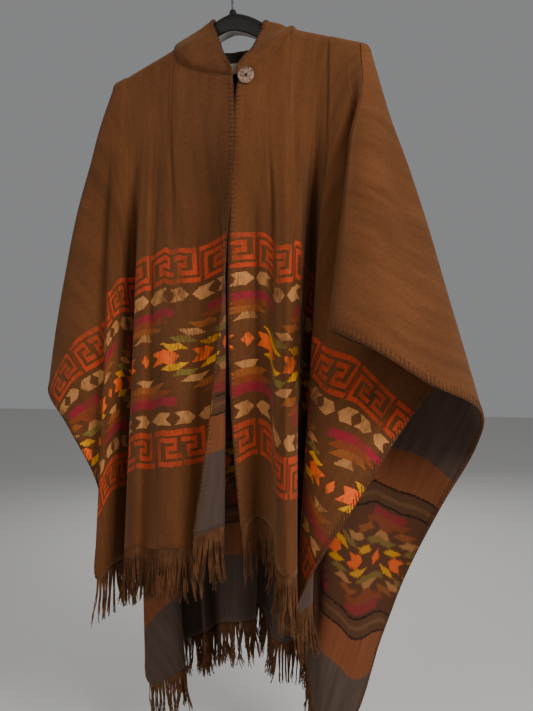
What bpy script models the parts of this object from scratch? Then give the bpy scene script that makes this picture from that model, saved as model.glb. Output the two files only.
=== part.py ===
"""Hooded open-front poncho of brushed blanket cloth, hung on a suit hanger.

The origin is the inner top of the hanger's hook, +Z is up and the front faces -Y.
The cloth is a rectangle folded over the hanger.  Its drape is a fan of straight
fold lines: each leaves the neckline or the hanger at the top and ends on the hem
or on a side edge.  FOLDS has one row per fold line, in order round the garment.
"""
import bmesh
import bpy
import numpy as np

CLOTH = 0.0024            # wall of the brushed cloth
SEAM_GAP = 0.0003
WRIST_TRIM = 0.0021       # drawn back from the fold where a front meets the back
NECK_HALF = 0.11          # neckline, centre to shoulder
NECK_SHIFT = 0.022        # front opening hangs towards the wearer's left at the neck
HOOD_LEAN = 0.013         # and the hood's edge leans the same way
FRINGE_LONG = 0.085
FRINGE_PITCH = 0.021
FRINGE_GAP = 0.0014
BAND_TALL = 0.007         # fringe's knotted heading
BAR_RADIUS = 0.012        # half depth of the hanger's arm
BAR_TALL = 0.031
BAR_HALF = 0.222
BAR_TOP = -0.081
TIP = 0.210                # where the cloth fans out at the arm's end
CLEAR = 0.0042            # cloth's middle above the hanger's top line
HOOK_WIRE = 0.002
HOOK_CENTRE = -0.0185
HOOK_BEND = 0.0205

# Drop of the hanger's top line from its middle: distance from the middle, drop.
BAR_DROP = (
    (0.000, 0.000),
    (0.030, 0.009),
    (0.060, 0.027),
    (0.100, 0.045),
    (0.160, 0.067),
    (0.222, 0.090),
)

# Neckline seam, from the centre to the shoulder: x, y, z.
FRONT_NECK = (
    (0.000, -0.0500, -0.1990),
    (0.030, -0.0415, -0.1925),
    (0.057, -0.0320, -0.1780),
    (0.085, -0.0225, -0.1560),
    (0.100, -0.0178, -0.1400),
    (0.107, -0.0118, -0.1300),
    (0.110, 0.0000, -0.1260),
)
BACK_NECK = (
    (0.000, 0.0350, -0.1400),
    (0.030, 0.0330, -0.1395),
    (0.057, 0.0280, -0.1385),
    (0.085, 0.0210, -0.1370),
    (0.100, 0.0178, -0.1360),
    (0.107, 0.0118, -0.1290),
    (0.110, 0.0000, -0.1260),
)

# One row per fold line, from the wearer's left centre edge round the back to the right one:
# name, top (distance from the centre line), foot in the cloth (across, down the front or
# minus down the back), foot in space (x, y, z), sideways and forward swing at mid length.
# The side edge lies 0.680 from the centre line, the front hem 0.840 and the back hem 1.000 down.
FOLDS = (
    ("left centre", 0.0070, 0.000, 0.840, 0.035, -0.100, -0.909, -0.020, 0.000),
    ("arch", 0.0300, 0.040, 0.840, 0.043, -0.060, -0.895, 0.000, 0.000),
    ("arch out", 0.0550, 0.075, 0.840, 0.081, -0.090, -0.904, 0.000, 0.000),
    ("tube in", 0.0750, 0.105, 0.840, 0.104, -0.130, -0.951, 0.000, 0.000),
    ("tube", 0.0980, 0.135, 0.840, 0.126, -0.150, -0.955, 0.000, 0.000),
    ("tube out", 0.1100, 0.165, 0.840, 0.132, -0.130, -0.956, 0.000, 0.000),
    ("crease", 0.1350, 0.205, 0.840, 0.110, -0.085, -0.969, 0.000, 0.000),
    ("pocket in", 0.1420, 0.290, 0.840, 0.081, 0.000, -1.020, 0.000, 0.000),
    ("pocket", 0.1480, 0.370, 0.840, 0.085, 0.065, -1.050, 0.000, 0.000),
    ("pocket out", 0.1550, 0.450, 0.840, 0.113, 0.000, -1.042, 0.000, 0.000),
    ("wing root", 0.1620, 0.550, 0.840, 0.126, -0.055, -1.029, 0.000, 0.000),
    ("left corner", 0.1700, 0.680, 0.840, 0.111, -0.075, -1.038, 0.000, 0.000),
    ("wing 1", 0.1770, 0.680, 0.740, 0.148, -0.100, -0.961, 0.000, 0.000),
    ("wing 2", 0.1840, 0.680, 0.600, 0.224, -0.095, -0.841, 0.000, 0.000),
    ("wing 3", 0.1900, 0.680, 0.480, 0.271, -0.060, -0.759, 0.000, 0.000),
    ("wing 4", 0.1950, 0.680, 0.360, 0.322, -0.005, -0.688, 0.000, 0.000),
    ("wing turn", 0.1990, 0.680, 0.290, 0.348, -0.012, -0.669, 0.000, 0.000),
    ("under 1", 0.2020, 0.680, 0.220, 0.318, -0.055, -0.652, 0.000, 0.000),
    ("under 2", 0.2050, 0.680, 0.100, 0.239, -0.115, -0.625, 0.000, 0.000),
    ("under 3", 0.2075, 0.680, 0.020, 0.201, -0.130, -0.607, 0.000, 0.000),
    ("left wrist", 0.2100, 0.680, 0.000, 0.193, -0.145, -0.601, 0.000, 0.000),
    ("flap 0", 0.2100, 0.680, -0.020, 0.212, -0.162, -0.605, 0.000, 0.000),
    ("flap 1", 0.2100, 0.680, -0.100, 0.266, -0.172, -0.629, 0.000, 0.000),
    ("flap 2", 0.2100, 0.680, -0.210, 0.329, -0.145, -0.674, 0.000, 0.000),
    ("flap out", 0.2100, 0.680, -0.330, 0.386, -0.060, -0.717, 0.004, 0.000),
    ("back 1", 0.2100, 0.680, -0.420, 0.366, 0.075, -0.797, 0.000, 0.000),
    ("back 2", 0.2100, 0.680, -0.580, 0.304, 0.120, -0.905, 0.000, 0.000),
    ("back 3", 0.2100, 0.680, -0.730, 0.239, 0.140, -1.033, 0.000, 0.000),
    ("back 4", 0.2100, 0.680, -0.860, 0.198, 0.130, -1.140, 0.000, 0.000),
    ("back left corner", 0.2040, 0.680, -1.000, 0.142, 0.090, -1.292, 0.000, 0.000),
    ("back left hem 1", 0.1960, 0.570, -1.000, 0.095, 0.075, -1.273, 0.000, 0.000),
    ("back left hem 2", 0.1870, 0.470, -1.000, 0.069, 0.125, -1.237, 0.000, 0.000),
    ("back hem 1", 0.1650, 0.370, -1.000, 0.025, 0.210, -1.207, 0.000, 0.000),
    ("back hem 2", 0.1350, 0.270, -1.000, -0.005, 0.140, -1.179, 0.000, 0.000),
    ("back hem 3", 0.1100, 0.170, -1.000, -0.055, 0.200, -1.142, 0.000, 0.000),
    ("back hem 4", 0.0980, 0.110, -1.000, -0.076, 0.190, -1.128, 0.000, 0.000),
    ("back hem 5", 0.0500, 0.050, -1.000, -0.042, 0.130, -1.138, 0.000, 0.000),
    ("back hem 6", 0.0000, -0.020, -1.000, -0.059, 0.090, -1.131, 0.000, 0.000),
    ("back hem 7", -0.0500, -0.080, -1.000, -0.115, 0.140, -1.158, 0.000, 0.000),
    ("back hem 8", -0.0980, -0.170, -1.000, -0.161, 0.200, -1.194, 0.000, 0.000),
    ("back hem 9", -0.1100, -0.270, -1.000, -0.147, 0.130, -1.177, 0.000, 0.000),
    ("back hem 10", -0.1400, -0.370, -1.000, -0.203, 0.220, -1.223, 0.000, 0.000),
    ("back hem 11", -0.1700, -0.490, -1.000, -0.254, 0.210, -1.249, 0.000, 0.000),
    ("back hem 12", -0.1900, -0.600, -1.000, -0.189, 0.120, -1.247, 0.000, 0.000),
    ("back right corner", -0.2020, -0.680, -1.000, -0.258, 0.105, -1.282, 0.000, 0.000),
    ("right back edge 1", -0.2100, -0.680, -0.840, -0.262, 0.115, -1.158, 0.000, 0.000),
    ("right back edge 2", -0.2100, -0.680, -0.680, -0.285, 0.130, -1.033, 0.000, 0.000),
    ("right back edge 3", -0.2100, -0.680, -0.520, -0.327, 0.140, -0.906, 0.000, 0.000),
    ("right back edge 4", -0.2100, -0.680, -0.360, -0.375, 0.140, -0.784, 0.000, 0.000),
    ("right back edge 5", -0.2100, -0.680, -0.180, -0.383, 0.115, -0.707, 0.000, 0.000),
    ("right wrist", -0.2100, -0.680, 0.000, -0.377, 0.075, -0.672, -0.008, 0.000),
    ("right front edge 1", -0.2100, -0.680, 0.170, -0.387, 0.030, -0.681, -0.018, 0.000),
    ("right front edge 2", -0.2100, -0.680, 0.340, -0.375, -0.020, -0.701, -0.018, 0.000),
    ("right front edge 3", -0.2100, -0.680, 0.460, -0.318, -0.045, -0.759, -0.010, 0.000),
    ("right front edge 4", -0.2100, -0.680, 0.600, -0.268, -0.030, -0.872, 0.000, 0.000),
    ("right front edge 5", -0.2100, -0.680, 0.720, -0.262, -0.045, -0.942, 0.000, 0.000),
    ("right corner", -0.2020, -0.680, 0.840, -0.258, -0.060, -1.025, 0.000, 0.000),
    ("right hem corner", -0.1950, -0.580, 0.840, -0.243, -0.035, -1.005, 0.000, 0.000),
    ("right pocket out", -0.1870, -0.480, 0.840, -0.235, 0.020, -1.005, 0.000, 0.000),
    ("right pocket", -0.1780, -0.370, 0.840, -0.212, 0.045, -1.003, 0.000, 0.000),
    ("right pocket in", -0.1690, -0.280, 0.840, -0.207, 0.000, -0.997, 0.000, 0.000),
    ("right strip out", -0.1600, -0.230, 0.840, -0.200, -0.060, -0.970, 0.000, 0.000),
    ("right strip in", -0.1450, -0.205, 0.840, -0.164, -0.080, -0.953, 0.000, 0.000),
    ("right valley", -0.1300, -0.185, 0.840, -0.154, -0.070, -0.957, 0.000, 0.000),
    ("right pleat out", -0.1100, -0.155, 0.840, -0.106, -0.105, -0.946, 0.000, 0.000),
    ("right pleat in", -0.0980, -0.120, 0.840, -0.063, -0.105, -0.939, 0.000, 0.000),
    ("right under", -0.0600, -0.085, 0.840, -0.035, -0.082, -0.932, 0.000, 0.000),
    ("right fold", -0.0300, -0.045, 0.840, -0.002, -0.085, -0.907, 0.008, -0.004),
    ("right centre", -0.0050, 0.000, 0.840, -0.035, -0.125, -0.914, 0.018, -0.008),
)

# Sections of the wearer's left hood half, from the front of the neckline over the shoulder
# to the middle of the back: share of the way, then x, y, z of six points from the neckline
# seam up to the free edge.
HOOD_UP = (0.0, 0.10, 0.30, 0.58, 0.80, 1.0)
HOOD = (
    (0.00, (0.0030, -0.0510, -0.1965), (0.0034, -0.0520, -0.1945), (0.0038, -0.0530, -0.1925),
     (0.0043, -0.0535, -0.1905), (0.0047, -0.0540, -0.1885), (0.0050, -0.0545, -0.1870)),
    (0.18, (0.0500, -0.0345, -0.1805), (0.0510, -0.0375, -0.1740), (0.0475, -0.0390, -0.1660),
     (0.0410, -0.0380, -0.1570), (0.0350, -0.0360, -0.1510), (0.0300, -0.0345, -0.1470)),
    (0.32, (0.0890, -0.0220, -0.1500), (0.0900, -0.0260, -0.1425), (0.0840, -0.0270, -0.1320),
     (0.0680, -0.0245, -0.1205), (0.0540, -0.0210, -0.1120), (0.0440, -0.0180, -0.1070)),
    (0.43, (0.1075, 0.0000, -0.1245), (0.1065, 0.0000, -0.1170), (0.0960, 0.0000, -0.1080),
     (0.0770, 0.0020, -0.1010), (0.0600, 0.0040, -0.0950), (0.0475, 0.0060, -0.0880)),
    (0.55, (0.0880, 0.0200, -0.1350), (0.0893, 0.0250, -0.1275), (0.0910, 0.0350, -0.1245),
     (0.0900, 0.0500, -0.1330), (0.0760, 0.0560, -0.1230), (0.0580, 0.0450, -0.1010)),
    (0.70, (0.0540, 0.0280, -0.1370), (0.0560, 0.0350, -0.1270), (0.0630, 0.0520, -0.1360),
     (0.0700, 0.0730, -0.1900), (0.0660, 0.0960, -0.1950), (0.0600, 0.0900, -0.1420)),
    (0.85, (0.0260, 0.0330, -0.1380), (0.0270, 0.0420, -0.1270), (0.0330, 0.0620, -0.1600),
     (0.0370, 0.0800, -0.2620), (0.0340, 0.1080, -0.2640), (0.0300, 0.1130, -0.1900)),
    (1.00, (0.0012, 0.0345, -0.1385), (0.0012, 0.0440, -0.1270), (0.0012, 0.0660, -0.1720),
     (0.0012, 0.0860, -0.3300), (0.0012, 0.1160, -0.3160), (0.0012, 0.1230, -0.2130)),
)


def clear_scene():
    for thing in list(bpy.data.objects):
        bpy.data.objects.remove(thing, do_unlink=True)


def collection(name):
    made = bpy.data.collections.new(name)
    bpy.context.scene.collection.children.link(made)
    return made


def material(name, colour, roughness, metallic=0.0):
    made = bpy.data.materials.new(name)
    made.use_nodes = True
    shader = made.node_tree.nodes["Principled BSDF"]
    shader.inputs["Base Color"].default_value = (*colour, 1.0)
    shader.inputs["Roughness"].default_value = roughness
    shader.inputs["Metallic"].default_value = metallic
    return made


def column(table, index):
    return np.array([row[index] for row in table], float)


def smooth_step(value):
    value = np.clip(value, 0.0, 1.0)
    return value * value * (3.0 - 2.0 * value)


def hermite(knots, values, at):
    """Smooth curve through the values, its slope at each knot that of its two neighbours."""
    values = np.asarray(values, float)
    slopes = np.gradient(values, knots, axis=0, edge_order=1)
    left = np.clip(np.searchsorted(knots, at, side="right") - 1, 0, len(knots) - 2)
    span = (knots[left + 1] - knots[left])[:, None]
    part = ((at - knots[left])[:, None]) / span
    return (
        values[left] * (2 * part**3 - 3 * part**2 + 1)
        + slopes[left] * span * (part**3 - 2 * part**2 + part)
        + values[left + 1] * (3 * part**2 - 2 * part**3)
        + slopes[left + 1] * span * (part**3 - part**2)
    )


def bar_line(x):
    """Height of the hanger's top line."""
    knots = column(BAR_DROP, 0)
    drops = column(BAR_DROP, 1)[:, None]
    return BAR_TOP - hermite(knots, drops, np.minimum(np.abs(x), knots[-1]))[:, 0]


def neck_shift(near):
    """Sideways shift of the front neckline, largest at its centre."""
    return NECK_SHIFT * (1.0 - smooth_step(near / 0.10))


def top_line(tops, back):
    """Where the cloth leaves the neckline seam or the hanger's top."""
    table = BACK_NECK if back else FRONT_NECK
    near = np.minimum(np.abs(tops), NECK_HALF)
    knots = column(table, 0)
    y = np.interp(near, knots, column(table, 1))
    z = np.interp(near, knots, column(table, 2))
    outer = np.abs(tops) > NECK_HALF
    z = np.where(outer, bar_line(tops) + CLEAR, z)
    y = np.where(np.abs(y) < SEAM_GAP, SEAM_GAP if back else -SEAM_GAP, y)
    x = tops if back else tops + neck_shift(near)
    return np.stack([x, y, z], axis=-1)


def off_bar(points, extra):
    """Push cloth that would enter the hanger's arm out round it."""
    x = np.clip(points[..., 0], -TIP, TIP)
    middle = bar_line(x.ravel()).reshape(x.shape) - BAR_RADIUS
    away = np.stack([points[..., 0] - x, points[..., 1], points[..., 2] - middle], axis=-1)
    below = np.minimum(away[..., 2] + BAR_TALL - 2 * BAR_RADIUS, 0.0)
    away[..., 2] = np.where(away[..., 2] < 0, below, away[..., 2])
    far = np.maximum(np.linalg.norm(away, axis=-1), 1e-6)
    need = np.maximum(BAR_RADIUS + CLEAR + extra - far, 0.0)
    return points + away / far[..., None] * need[..., None]


def fold_lines(places):
    """Tops, feet in the cloth, feet in space and swings at places along the rows."""
    feet = np.array([row[4:7] for row in FOLDS], float)
    steps = np.linalg.norm(np.diff(feet, axis=0), axis=1)
    knots = np.concatenate([[0.0], np.cumsum(np.sqrt(steps))])
    rows = np.arange(len(FOLDS), dtype=float)
    space = hermite(knots, feet, np.interp(places, rows, knots))
    tops, across, down, swing_x, swing_y = (
        np.interp(places, rows, column(FOLDS, i)) for i in (1, 2, 3, 7, 8)
    )
    return tops, across, down, space, swing_x, swing_y


def leaving(tops, across, down, back):
    """Level direction in which each fold line leaves the hanger, and its share of the fan."""
    slant = np.degrees(np.arctan2(np.abs(across) - TIP, np.abs(down)))
    share = np.clip((slant - 25.0) / 65.0, 0.0, 1.0)
    wrist = np.where(across > 0, 20.0, 90.0)
    if back:
        heading = 180.0 - (180.0 - wrist) * share
    else:
        heading = wrist * share
    heading = np.radians(heading)
    aim = np.stack([np.sign(across) * np.sin(heading), -np.cos(heading)], axis=-1)
    return aim, share


def drape(places, shares, back):
    """Cloth surface: one fold line per place, shares of its length down it."""
    tops, across, down, feet, swing_x, swing_y = fold_lines(places)
    start = top_line(tops, back)
    aim, fan = leaving(tops, across, down, back)
    start[:, :2] += aim * (0.0022 * np.minimum(fan * 20, 1.0))[:, None]
    start[:, 1] += (0.0008 if back else -0.0008) * np.minimum(fan * 20, 1.0)
    even = feet.copy()
    even[:, :2] = start[:, :2] + aim * (0.11 + 0.07 * fan)[:, None]
    bend = np.maximum(0.0155 - np.abs(start[:, 1]) * (np.abs(tops) < NECK_HALF), 0.0004)
    length = np.linalg.norm(even - start, axis=1)
    walk = shares[None, :] * length[:, None]
    turn = np.minimum(walk / bend[:, None], np.pi / 2)
    over = bend[:, None] * np.sin(turn)
    fall = bend[:, None] * (1 - np.cos(turn))
    points = np.empty((len(places), len(shares), 3))
    points[:, :, :2] = start[:, None, :2] + aim[:, None, :] * over[:, :, None]
    points[:, :, 2] = start[:, None, 2] - fall
    leave = start.copy()
    leave[:, :2] += aim * bend[:, None]
    leave[:, 2] -= bend
    rest = (walk - bend[:, None] * np.pi / 2) / (length - bend * np.pi / 2)[:, None]
    rest = np.clip(rest, 0.0, 1.0)
    grown = smooth_step((rest - 0.08) / 0.26)[:, :, None]
    foot = even[:, None, :] + (feet - even)[:, None, :] * grown
    points = points + rest[:, :, None] * (foot - leave[:, None, :])
    bow = 4 * rest * (1 - rest)
    points[:, :, 0] += swing_x[:, None] * bow
    points[:, :, 1] += swing_y[:, None] * bow
    return off_bar(points, 0.0)


def seam_trim(points, front, rear):
    """Draw the first or last fold line of a piece back from the seam beside it."""
    for wanted, edge, inner in ((front, 0, 1), (rear, -1, -2)):
        if wanted:
            pull = points[inner] - points[edge]
            far = np.linalg.norm(pull, axis=1)[:, None]
            grown = WRIST_TRIM * np.clip((np.arange(len(far)) - 3) / 3.0, 0.0, 1.0)[:, None]
            points[edge] += pull / far * np.maximum(np.minimum(WRIST_TRIM, far * 0.6), grown)
    return points


def row_place(name):
    return [row[0] for row in FOLDS].index(name)


def places_between(first, last, per_fold):
    lo = row_place(first)
    hi = row_place(last)
    return np.linspace(lo, hi, (hi - lo) * per_fold + 1)


def grid_mesh(name, points):
    """Quad mesh over a rectangular array of points."""
    wide, deep = points.shape[:2]
    index = np.arange(wide * deep).reshape(wide, deep)
    quads = np.stack([index[:-1, :-1], index[1:, :-1], index[1:, 1:], index[:-1, 1:]], axis=-1)
    mesh = bpy.data.meshes.new(name)
    mesh.from_pydata(points.reshape(-1, 3).tolist(), [], quads.reshape(-1, 4).tolist())
    return mesh


def closed_mesh(name, verts, faces):
    """Mesh of a closed body, its faces turned outward."""
    mesh = bpy.data.meshes.new(name)
    mesh.from_pydata([tuple(v) for v in verts], [], [tuple(int(k) for k in face) for face in faces])
    form = bmesh.new()
    form.from_mesh(mesh)
    bmesh.ops.recalc_face_normals(form, faces=form.faces)
    form.to_mesh(mesh)
    form.free()
    return mesh


def place(name, mesh, look, group):
    made = bpy.data.objects.new(name, mesh)
    mesh.materials.append(look)
    group.objects.link(made)
    return made


def cloth_object(name, points, look, group, thick=CLOTH):
    made = place(name, grid_mesh(name, points), look, group)
    wall = made.modifiers.new("cloth wall", "SOLIDIFY")
    wall.thickness = thick
    wall.offset = 0.0
    wall.use_even_offset = False
    return made


# Where each fold line has a point, as shares of its length.
LENGTH_SHARES = np.array(
    [0.0, 0.003, 0.014, 0.027, 0.05, 0.10, 0.17, 0.26, 0.38, 0.55, 0.78, 1.0]
)


def front_left(look, group):
    points = drape(places_between("left centre", "left wrist", 3), LENGTH_SHARES, False)
    return cloth_object("front_left", seam_trim(points, False, True), look, group)


def front_right(look, group):
    points = drape(places_between("right wrist", "right centre", 3), LENGTH_SHARES, False)
    return cloth_object("front_right", seam_trim(points, True, False), look, group)


def back(look, group):
    points = drape(places_between("left wrist", "right wrist", 2), LENGTH_SHARES, True)
    return cloth_object("back", seam_trim(points, True, True), look, group)


def hood_surface(side, along, up):
    """Half of the thrown-back hood: along the neckline seam, up to the free edge."""
    sections = np.array([row[1:] for row in HOOD], float)
    mirrored = sections[-2] * np.array([-1.0, 1.0, 1.0])
    sections = np.concatenate([sections, mirrored[None]])
    knots = np.concatenate([column(HOOD, 0), [2.0 - HOOD[-2][0]]])
    stations = hermite(knots, sections.reshape(len(knots), -1), along)
    stations = stations.reshape(len(along), len(HOOD_UP), 3).transpose(1, 0, 2)
    points = hermite(np.array(HOOD_UP), stations.reshape(len(HOOD_UP), -1), up)
    points = points.reshape(len(up), len(along), 3).transpose(1, 0, 2)
    points[:, :, 2] += 0.0008 * np.exp(-up / 0.1)[None, :]
    seam_x = points[:, :1, 0].copy()
    points[:, :, 0] *= side
    upper = smooth_step(up / 0.8)[None, :]
    over_neck = smooth_step((0.85 - along) / 0.35)[:, None]
    front = np.where(along < 0.45, 1.0, 0.0)[:, None]
    if side > 0:
        more = 0.0085 * (1.0 - smooth_step(along / 0.15))[:, None]
    else:
        more = 0.0100 * (1.0 - smooth_step((along - 0.2) / 0.23))[:, None]
    points[:, :, 0] += neck_shift(seam_x) * front * (1.0 - upper)
    points[:, :, 0] += (HOOD_LEAN + more) * upper * over_neck
    if side > 0:
        low = smooth_step(up / 0.6)[None, :] * over_neck * smooth_step(along / 0.3)[:, None]
        points[:, :, 2] -= 0.016 * low
    return off_bar(points, 0.0010)


def hood_half(name, side, look, group):
    along = np.linspace(0.0, 1.0, 19)
    up = np.array([0.0, 0.05, 0.12, 0.22, 0.34, 0.46, 0.56, 0.66, 0.76, 0.88, 1.0])
    points = hood_surface(side, along, up)
    if side < 0:
        points = points[::-1]
    return cloth_object(name, points, look, group, 0.0022)


def fringe(name, first, last, is_back, look, group):
    """Heading strip under a hem with flat tapering locks, one closed body."""
    columns = places_between(first, last, 2 if is_back else 3)
    ends = drape(columns, LENGTH_SHARES[-2:], is_back)
    widths = np.linalg.norm(np.diff(ends[:, 1], axis=0), axis=1)
    marks = [0.0]
    kinds = []
    for i, wide in enumerate(widths):
        locks = max(int(round(wide / FRINGE_PITCH)), 1)
        for lock in range(locks):
            marks.extend([i + (lock + 0.12) / locks, i + (lock + 0.88) / locks])
            kinds.extend([False, True])
        marks.append(i + 1.0)
        kinds.append(False)
    marks = np.array(marks)
    marks[0] = 0.01
    marks[-1] = len(columns) - 1.01
    whole = np.arange(len(columns))
    along = ends[:, 1] - ends[:, 0]
    along = np.stack([np.interp(marks, whole, along[:, i]) for i in range(3)], axis=-1)
    along = along / np.linalg.norm(along, axis=1)[:, None]
    hem = np.stack([np.interp(marks, whole, ends[:, 1, i]) for i in range(3)], axis=-1)
    down = along + np.array([0.0, 0.0, -0.6])
    down = down / np.linalg.norm(down, axis=1)[:, None]
    across = np.gradient(hem, axis=0)
    across = across / np.linalg.norm(across, axis=1)[:, None]
    flat = np.cross(across, along)
    flat = flat / np.linalg.norm(flat, axis=1)[:, None]
    out = np.cross(across, down)
    out = out / np.linalg.norm(out, axis=1)[:, None]
    half = 0.0011
    top = hem + along * FRINGE_GAP
    low = top + down * BAND_TALL
    verts = np.concatenate([top + flat * half, top - flat * half, low + out * half, low - out * half])
    count = len(marks)
    a, b, c, d = (np.arange(count) + shift * count for shift in range(4))
    faces = []
    verts = verts.tolist()
    rng = np.random.default_rng(7)
    for i in range(count - 1):
        faces.append([a[i], a[i + 1], b[i + 1], b[i]])
        faces.append([a[i], c[i], c[i + 1], a[i + 1]])
        faces.append([b[i], b[i + 1], d[i + 1], d[i]])
        if not kinds[i]:
            faces.append([c[i], d[i], d[i + 1], c[i + 1]])
            continue
        ring_now = [c[i], c[i + 1], d[i + 1], d[i]]
        middle = np.mean([verts[k] for k in ring_now], axis=0)
        fall = down[i] + down[i + 1] + rng.normal(0, 0.05, 3)
        fall = fall / np.linalg.norm(fall)
        long = FRINGE_LONG * rng.uniform(0.86, 1.04)
        for part, shrink in ((0.5, 0.9), (1.0, 0.35)):
            spot = middle + fall * long * part
            new = []
            for k in (c[i], c[i + 1], d[i + 1], d[i]):
                offset = np.array(verts[k]) - middle
                verts.append((spot + offset * shrink).tolist())
                new.append(len(verts) - 1)
            for k in range(4):
                j = (k + 1) % 4
                faces.append([ring_now[k], new[k], new[j], ring_now[j]])
            ring_now = new
        faces.append(ring_now[::-1])
    for end, flip in ((0, False), (count - 1, True)):
        cap = [a[end], b[end], d[end], c[end]]
        faces.append(cap[::-1] if flip else cap)
    return place(name, closed_mesh(name, verts, faces), look, group)


def hanger_body(look, group):
    """Arched suit hanger with a rounded arm and a collar for the hook."""
    stations = np.array(
        [-0.222, -0.2205, -0.216, -0.205, -0.18, -0.15, -0.12, -0.09, -0.06, -0.035, -0.015, 0.0]
    )
    stations = np.concatenate([stations, -stations[-2::-1]])
    top = bar_line(stations)
    near_end = np.clip((BAR_HALF - np.abs(stations)) / BAR_RADIUS, 0.0, 1.0)
    round_end = np.sqrt(np.clip(1 - (1 - near_end) ** 2, 0.06, 1.0))
    side = ((0.0060, -0.0016), (0.0104, -0.0060), (0.0120, -0.0120), (0.0120, -0.0280), (0.0095, -0.0310))
    section = [(0.0, 0.0), *side, *((-y, z) for y, z in side[::-1])]
    height = BAR_TALL / 2
    verts = []
    for x, z, share in zip(stations, top, round_end):
        for y, drop in section:
            verts.append((x, y * share, z - height + (drop + height) * share))
    count = len(section)
    faces = []
    for i in range(len(stations) - 1):
        for k in range(count):
            j = (k + 1) % count
            faces.append((i * count + k, i * count + j, (i + 1) * count + j, (i + 1) * count + k))
    faces.append(tuple(range(count))[::-1])
    faces.append(tuple((len(stations) - 1) * count + k for k in range(count)))
    return place("hanger_body", closed_mesh("hanger_body", verts, faces), look, group)


def hanger_collar(body, cutters, look):
    """Small cone round the hook's stem, joined to the arm."""
    bpy.ops.mesh.primitive_cone_add(vertices=20, radius1=0.0075, radius2=0.0042, depth=0.013,
                                    location=(0, 0, BAR_TOP))
    cone = bpy.context.object
    cone.name = "collar form"
    for owner in list(cone.users_collection):
        owner.objects.unlink(cone)
    cutters.objects.link(cone)
    cone.hide_render = True
    cone.display_type = "WIRE"
    join = body.modifiers.new("collar", "BOOLEAN")
    join.operation = "UNION"
    join.solver = "EXACT"
    join.object = cone


def hanger_hook(look, group):
    """Wire hook: a stem, an open turn round the rail and a short tail."""
    degrees = np.arange(-52, 206, 12.0)
    turn = np.radians(degrees)
    loop_x = HOOK_BEND * np.cos(turn)
    loop_z = HOOK_CENTRE + HOOK_BEND * np.sin(turn)
    stem = [(0.0, BAR_TOP + 0.0070), (0.0, -0.0520), (0.0018, -0.0460), (0.0060, -0.0400)]
    path = stem + list(zip(loop_x, loop_z))
    curve = bpy.data.curves.new("hanger_hook", "CURVE")
    curve.dimensions = "3D"
    curve.bevel_depth = HOOK_WIRE
    curve.bevel_resolution = 2
    curve.use_fill_caps = True
    wire = curve.splines.new("POLY")
    wire.points.add(len(path) - 1)
    for point, (x, z) in zip(wire.points, path):
        point.co = (x, 0.0, z, 1.0)
    made = bpy.data.objects.new("hanger_hook", curve)
    curve.materials.append(look)
    group.objects.link(made)
    return made


def button(look, group):
    """Turned shell disc with a rounded rim and a hole through the middle."""
    profile = ((0.0022, 0.0), (0.0112, 0.0), (0.0128, 0.0009), (0.0133, 0.0020), (0.0126, 0.0031),
               (0.0108, 0.0036), (0.0085, 0.0030), (0.0022, 0.0028))
    mesh = bpy.data.meshes.new("button")
    verts = [(r, 0.0, h) for r, h in profile]
    edges = [(i, (i + 1) % len(verts)) for i in range(len(verts))]
    mesh.from_pydata(verts, edges, [])
    made = place("button", mesh, look, group)
    spin = made.modifiers.new("turned", "SCREW")
    spin.axis = "Z"
    spin.angle = 2 * np.pi
    spin.steps = 28
    spin.render_steps = 28
    spin.use_merge_vertices = True
    spin.merge_threshold = 0.00005
    spin.use_normal_calculate = True
    return made


def seat_button(made):
    """Lay the disc on the wearer's left front, just clear of the cloth."""
    spot = drape(np.array([0.62]), np.array([0.009]), False)[0, 0]
    made.location = spot + np.array([0.0, -0.0042, 0.0])
    made.rotation_euler = (np.radians(90), 0.0, np.radians(8))


def neck_strip(name, top_drop, tall, half, thick, inset, look, group):
    """Narrow strip inside the back neck, following its curve."""
    across = np.linspace(-half, half, 13)
    seam = top_line(np.abs(across), True)
    points = np.empty((13, 3, 3))
    for i, share in enumerate((0.0, 0.5, 1.0)):
        points[:, i, 0] = across
        points[:, i, 1] = seam[:, 1] - inset + 0.0003 * share
        points[:, i, 2] = seam[:, 2] + top_drop - tall * share
    return cloth_object(name, points, look, group, thick)


def build():
    clear_scene()
    group = collection("poncho")
    cutters = collection("poncho cutters")
    brown = material("brown blanket cloth", (0.110, 0.052, 0.028), 0.95)
    yarn = material("brown fringe yarn", (0.135, 0.066, 0.036), 0.95)
    hood_cloth = material("brown hood cloth", (0.110, 0.052, 0.028), 0.95)
    front_left(brown, group)
    back(brown, group)
    front_right(brown, group)
    hood_half("hood_left", 1.0, hood_cloth, group)
    hood_half("hood_right", -1.0, hood_cloth, group)
    fringe("front_left_fringe", "left centre", "left corner", False, yarn, group)
    fringe("front_right_fringe", "right corner", "right centre", False, yarn, group)
    fringe("back_fringe", "back left corner", "back right corner", True, yarn, group)
    olive = material("olive neck tape", (0.045, 0.040, 0.024), 0.9)
    neck_strip("neck_tape", 0.003, 0.012, 0.060, 0.0010, 0.0032, olive, group)
    cream = material("cream woven label", (0.62, 0.56, 0.44), 0.7)
    neck_strip("neck_label", -0.0093, 0.018, 0.022, 0.0006, 0.0034, cream, group)
    disc = button(material("shell button", (0.36, 0.22, 0.15), 0.45), group)
    seat_button(disc)
    black = material("black hanger plastic", (0.012, 0.012, 0.013), 0.45)
    body = hanger_body(black, group)
    hanger_collar(body, cutters, black)
    hanger_hook(material("dark steel hook", (0.22, 0.22, 0.23), 0.35, 1.0), group)


build()
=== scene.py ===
# %% [markdown]
# # A hooded blanket poncho on its hanger
#
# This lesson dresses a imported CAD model: a poncho of brushed, two-faced blanket cloth, a back
# and two fronts that meet on the shoulders, with a hood lying back, blanket stitch along its
# edges and fringe along its hems.  The model comes first, as a fixed frame in metres, and every
# piece made here is placed in that frame.

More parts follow.
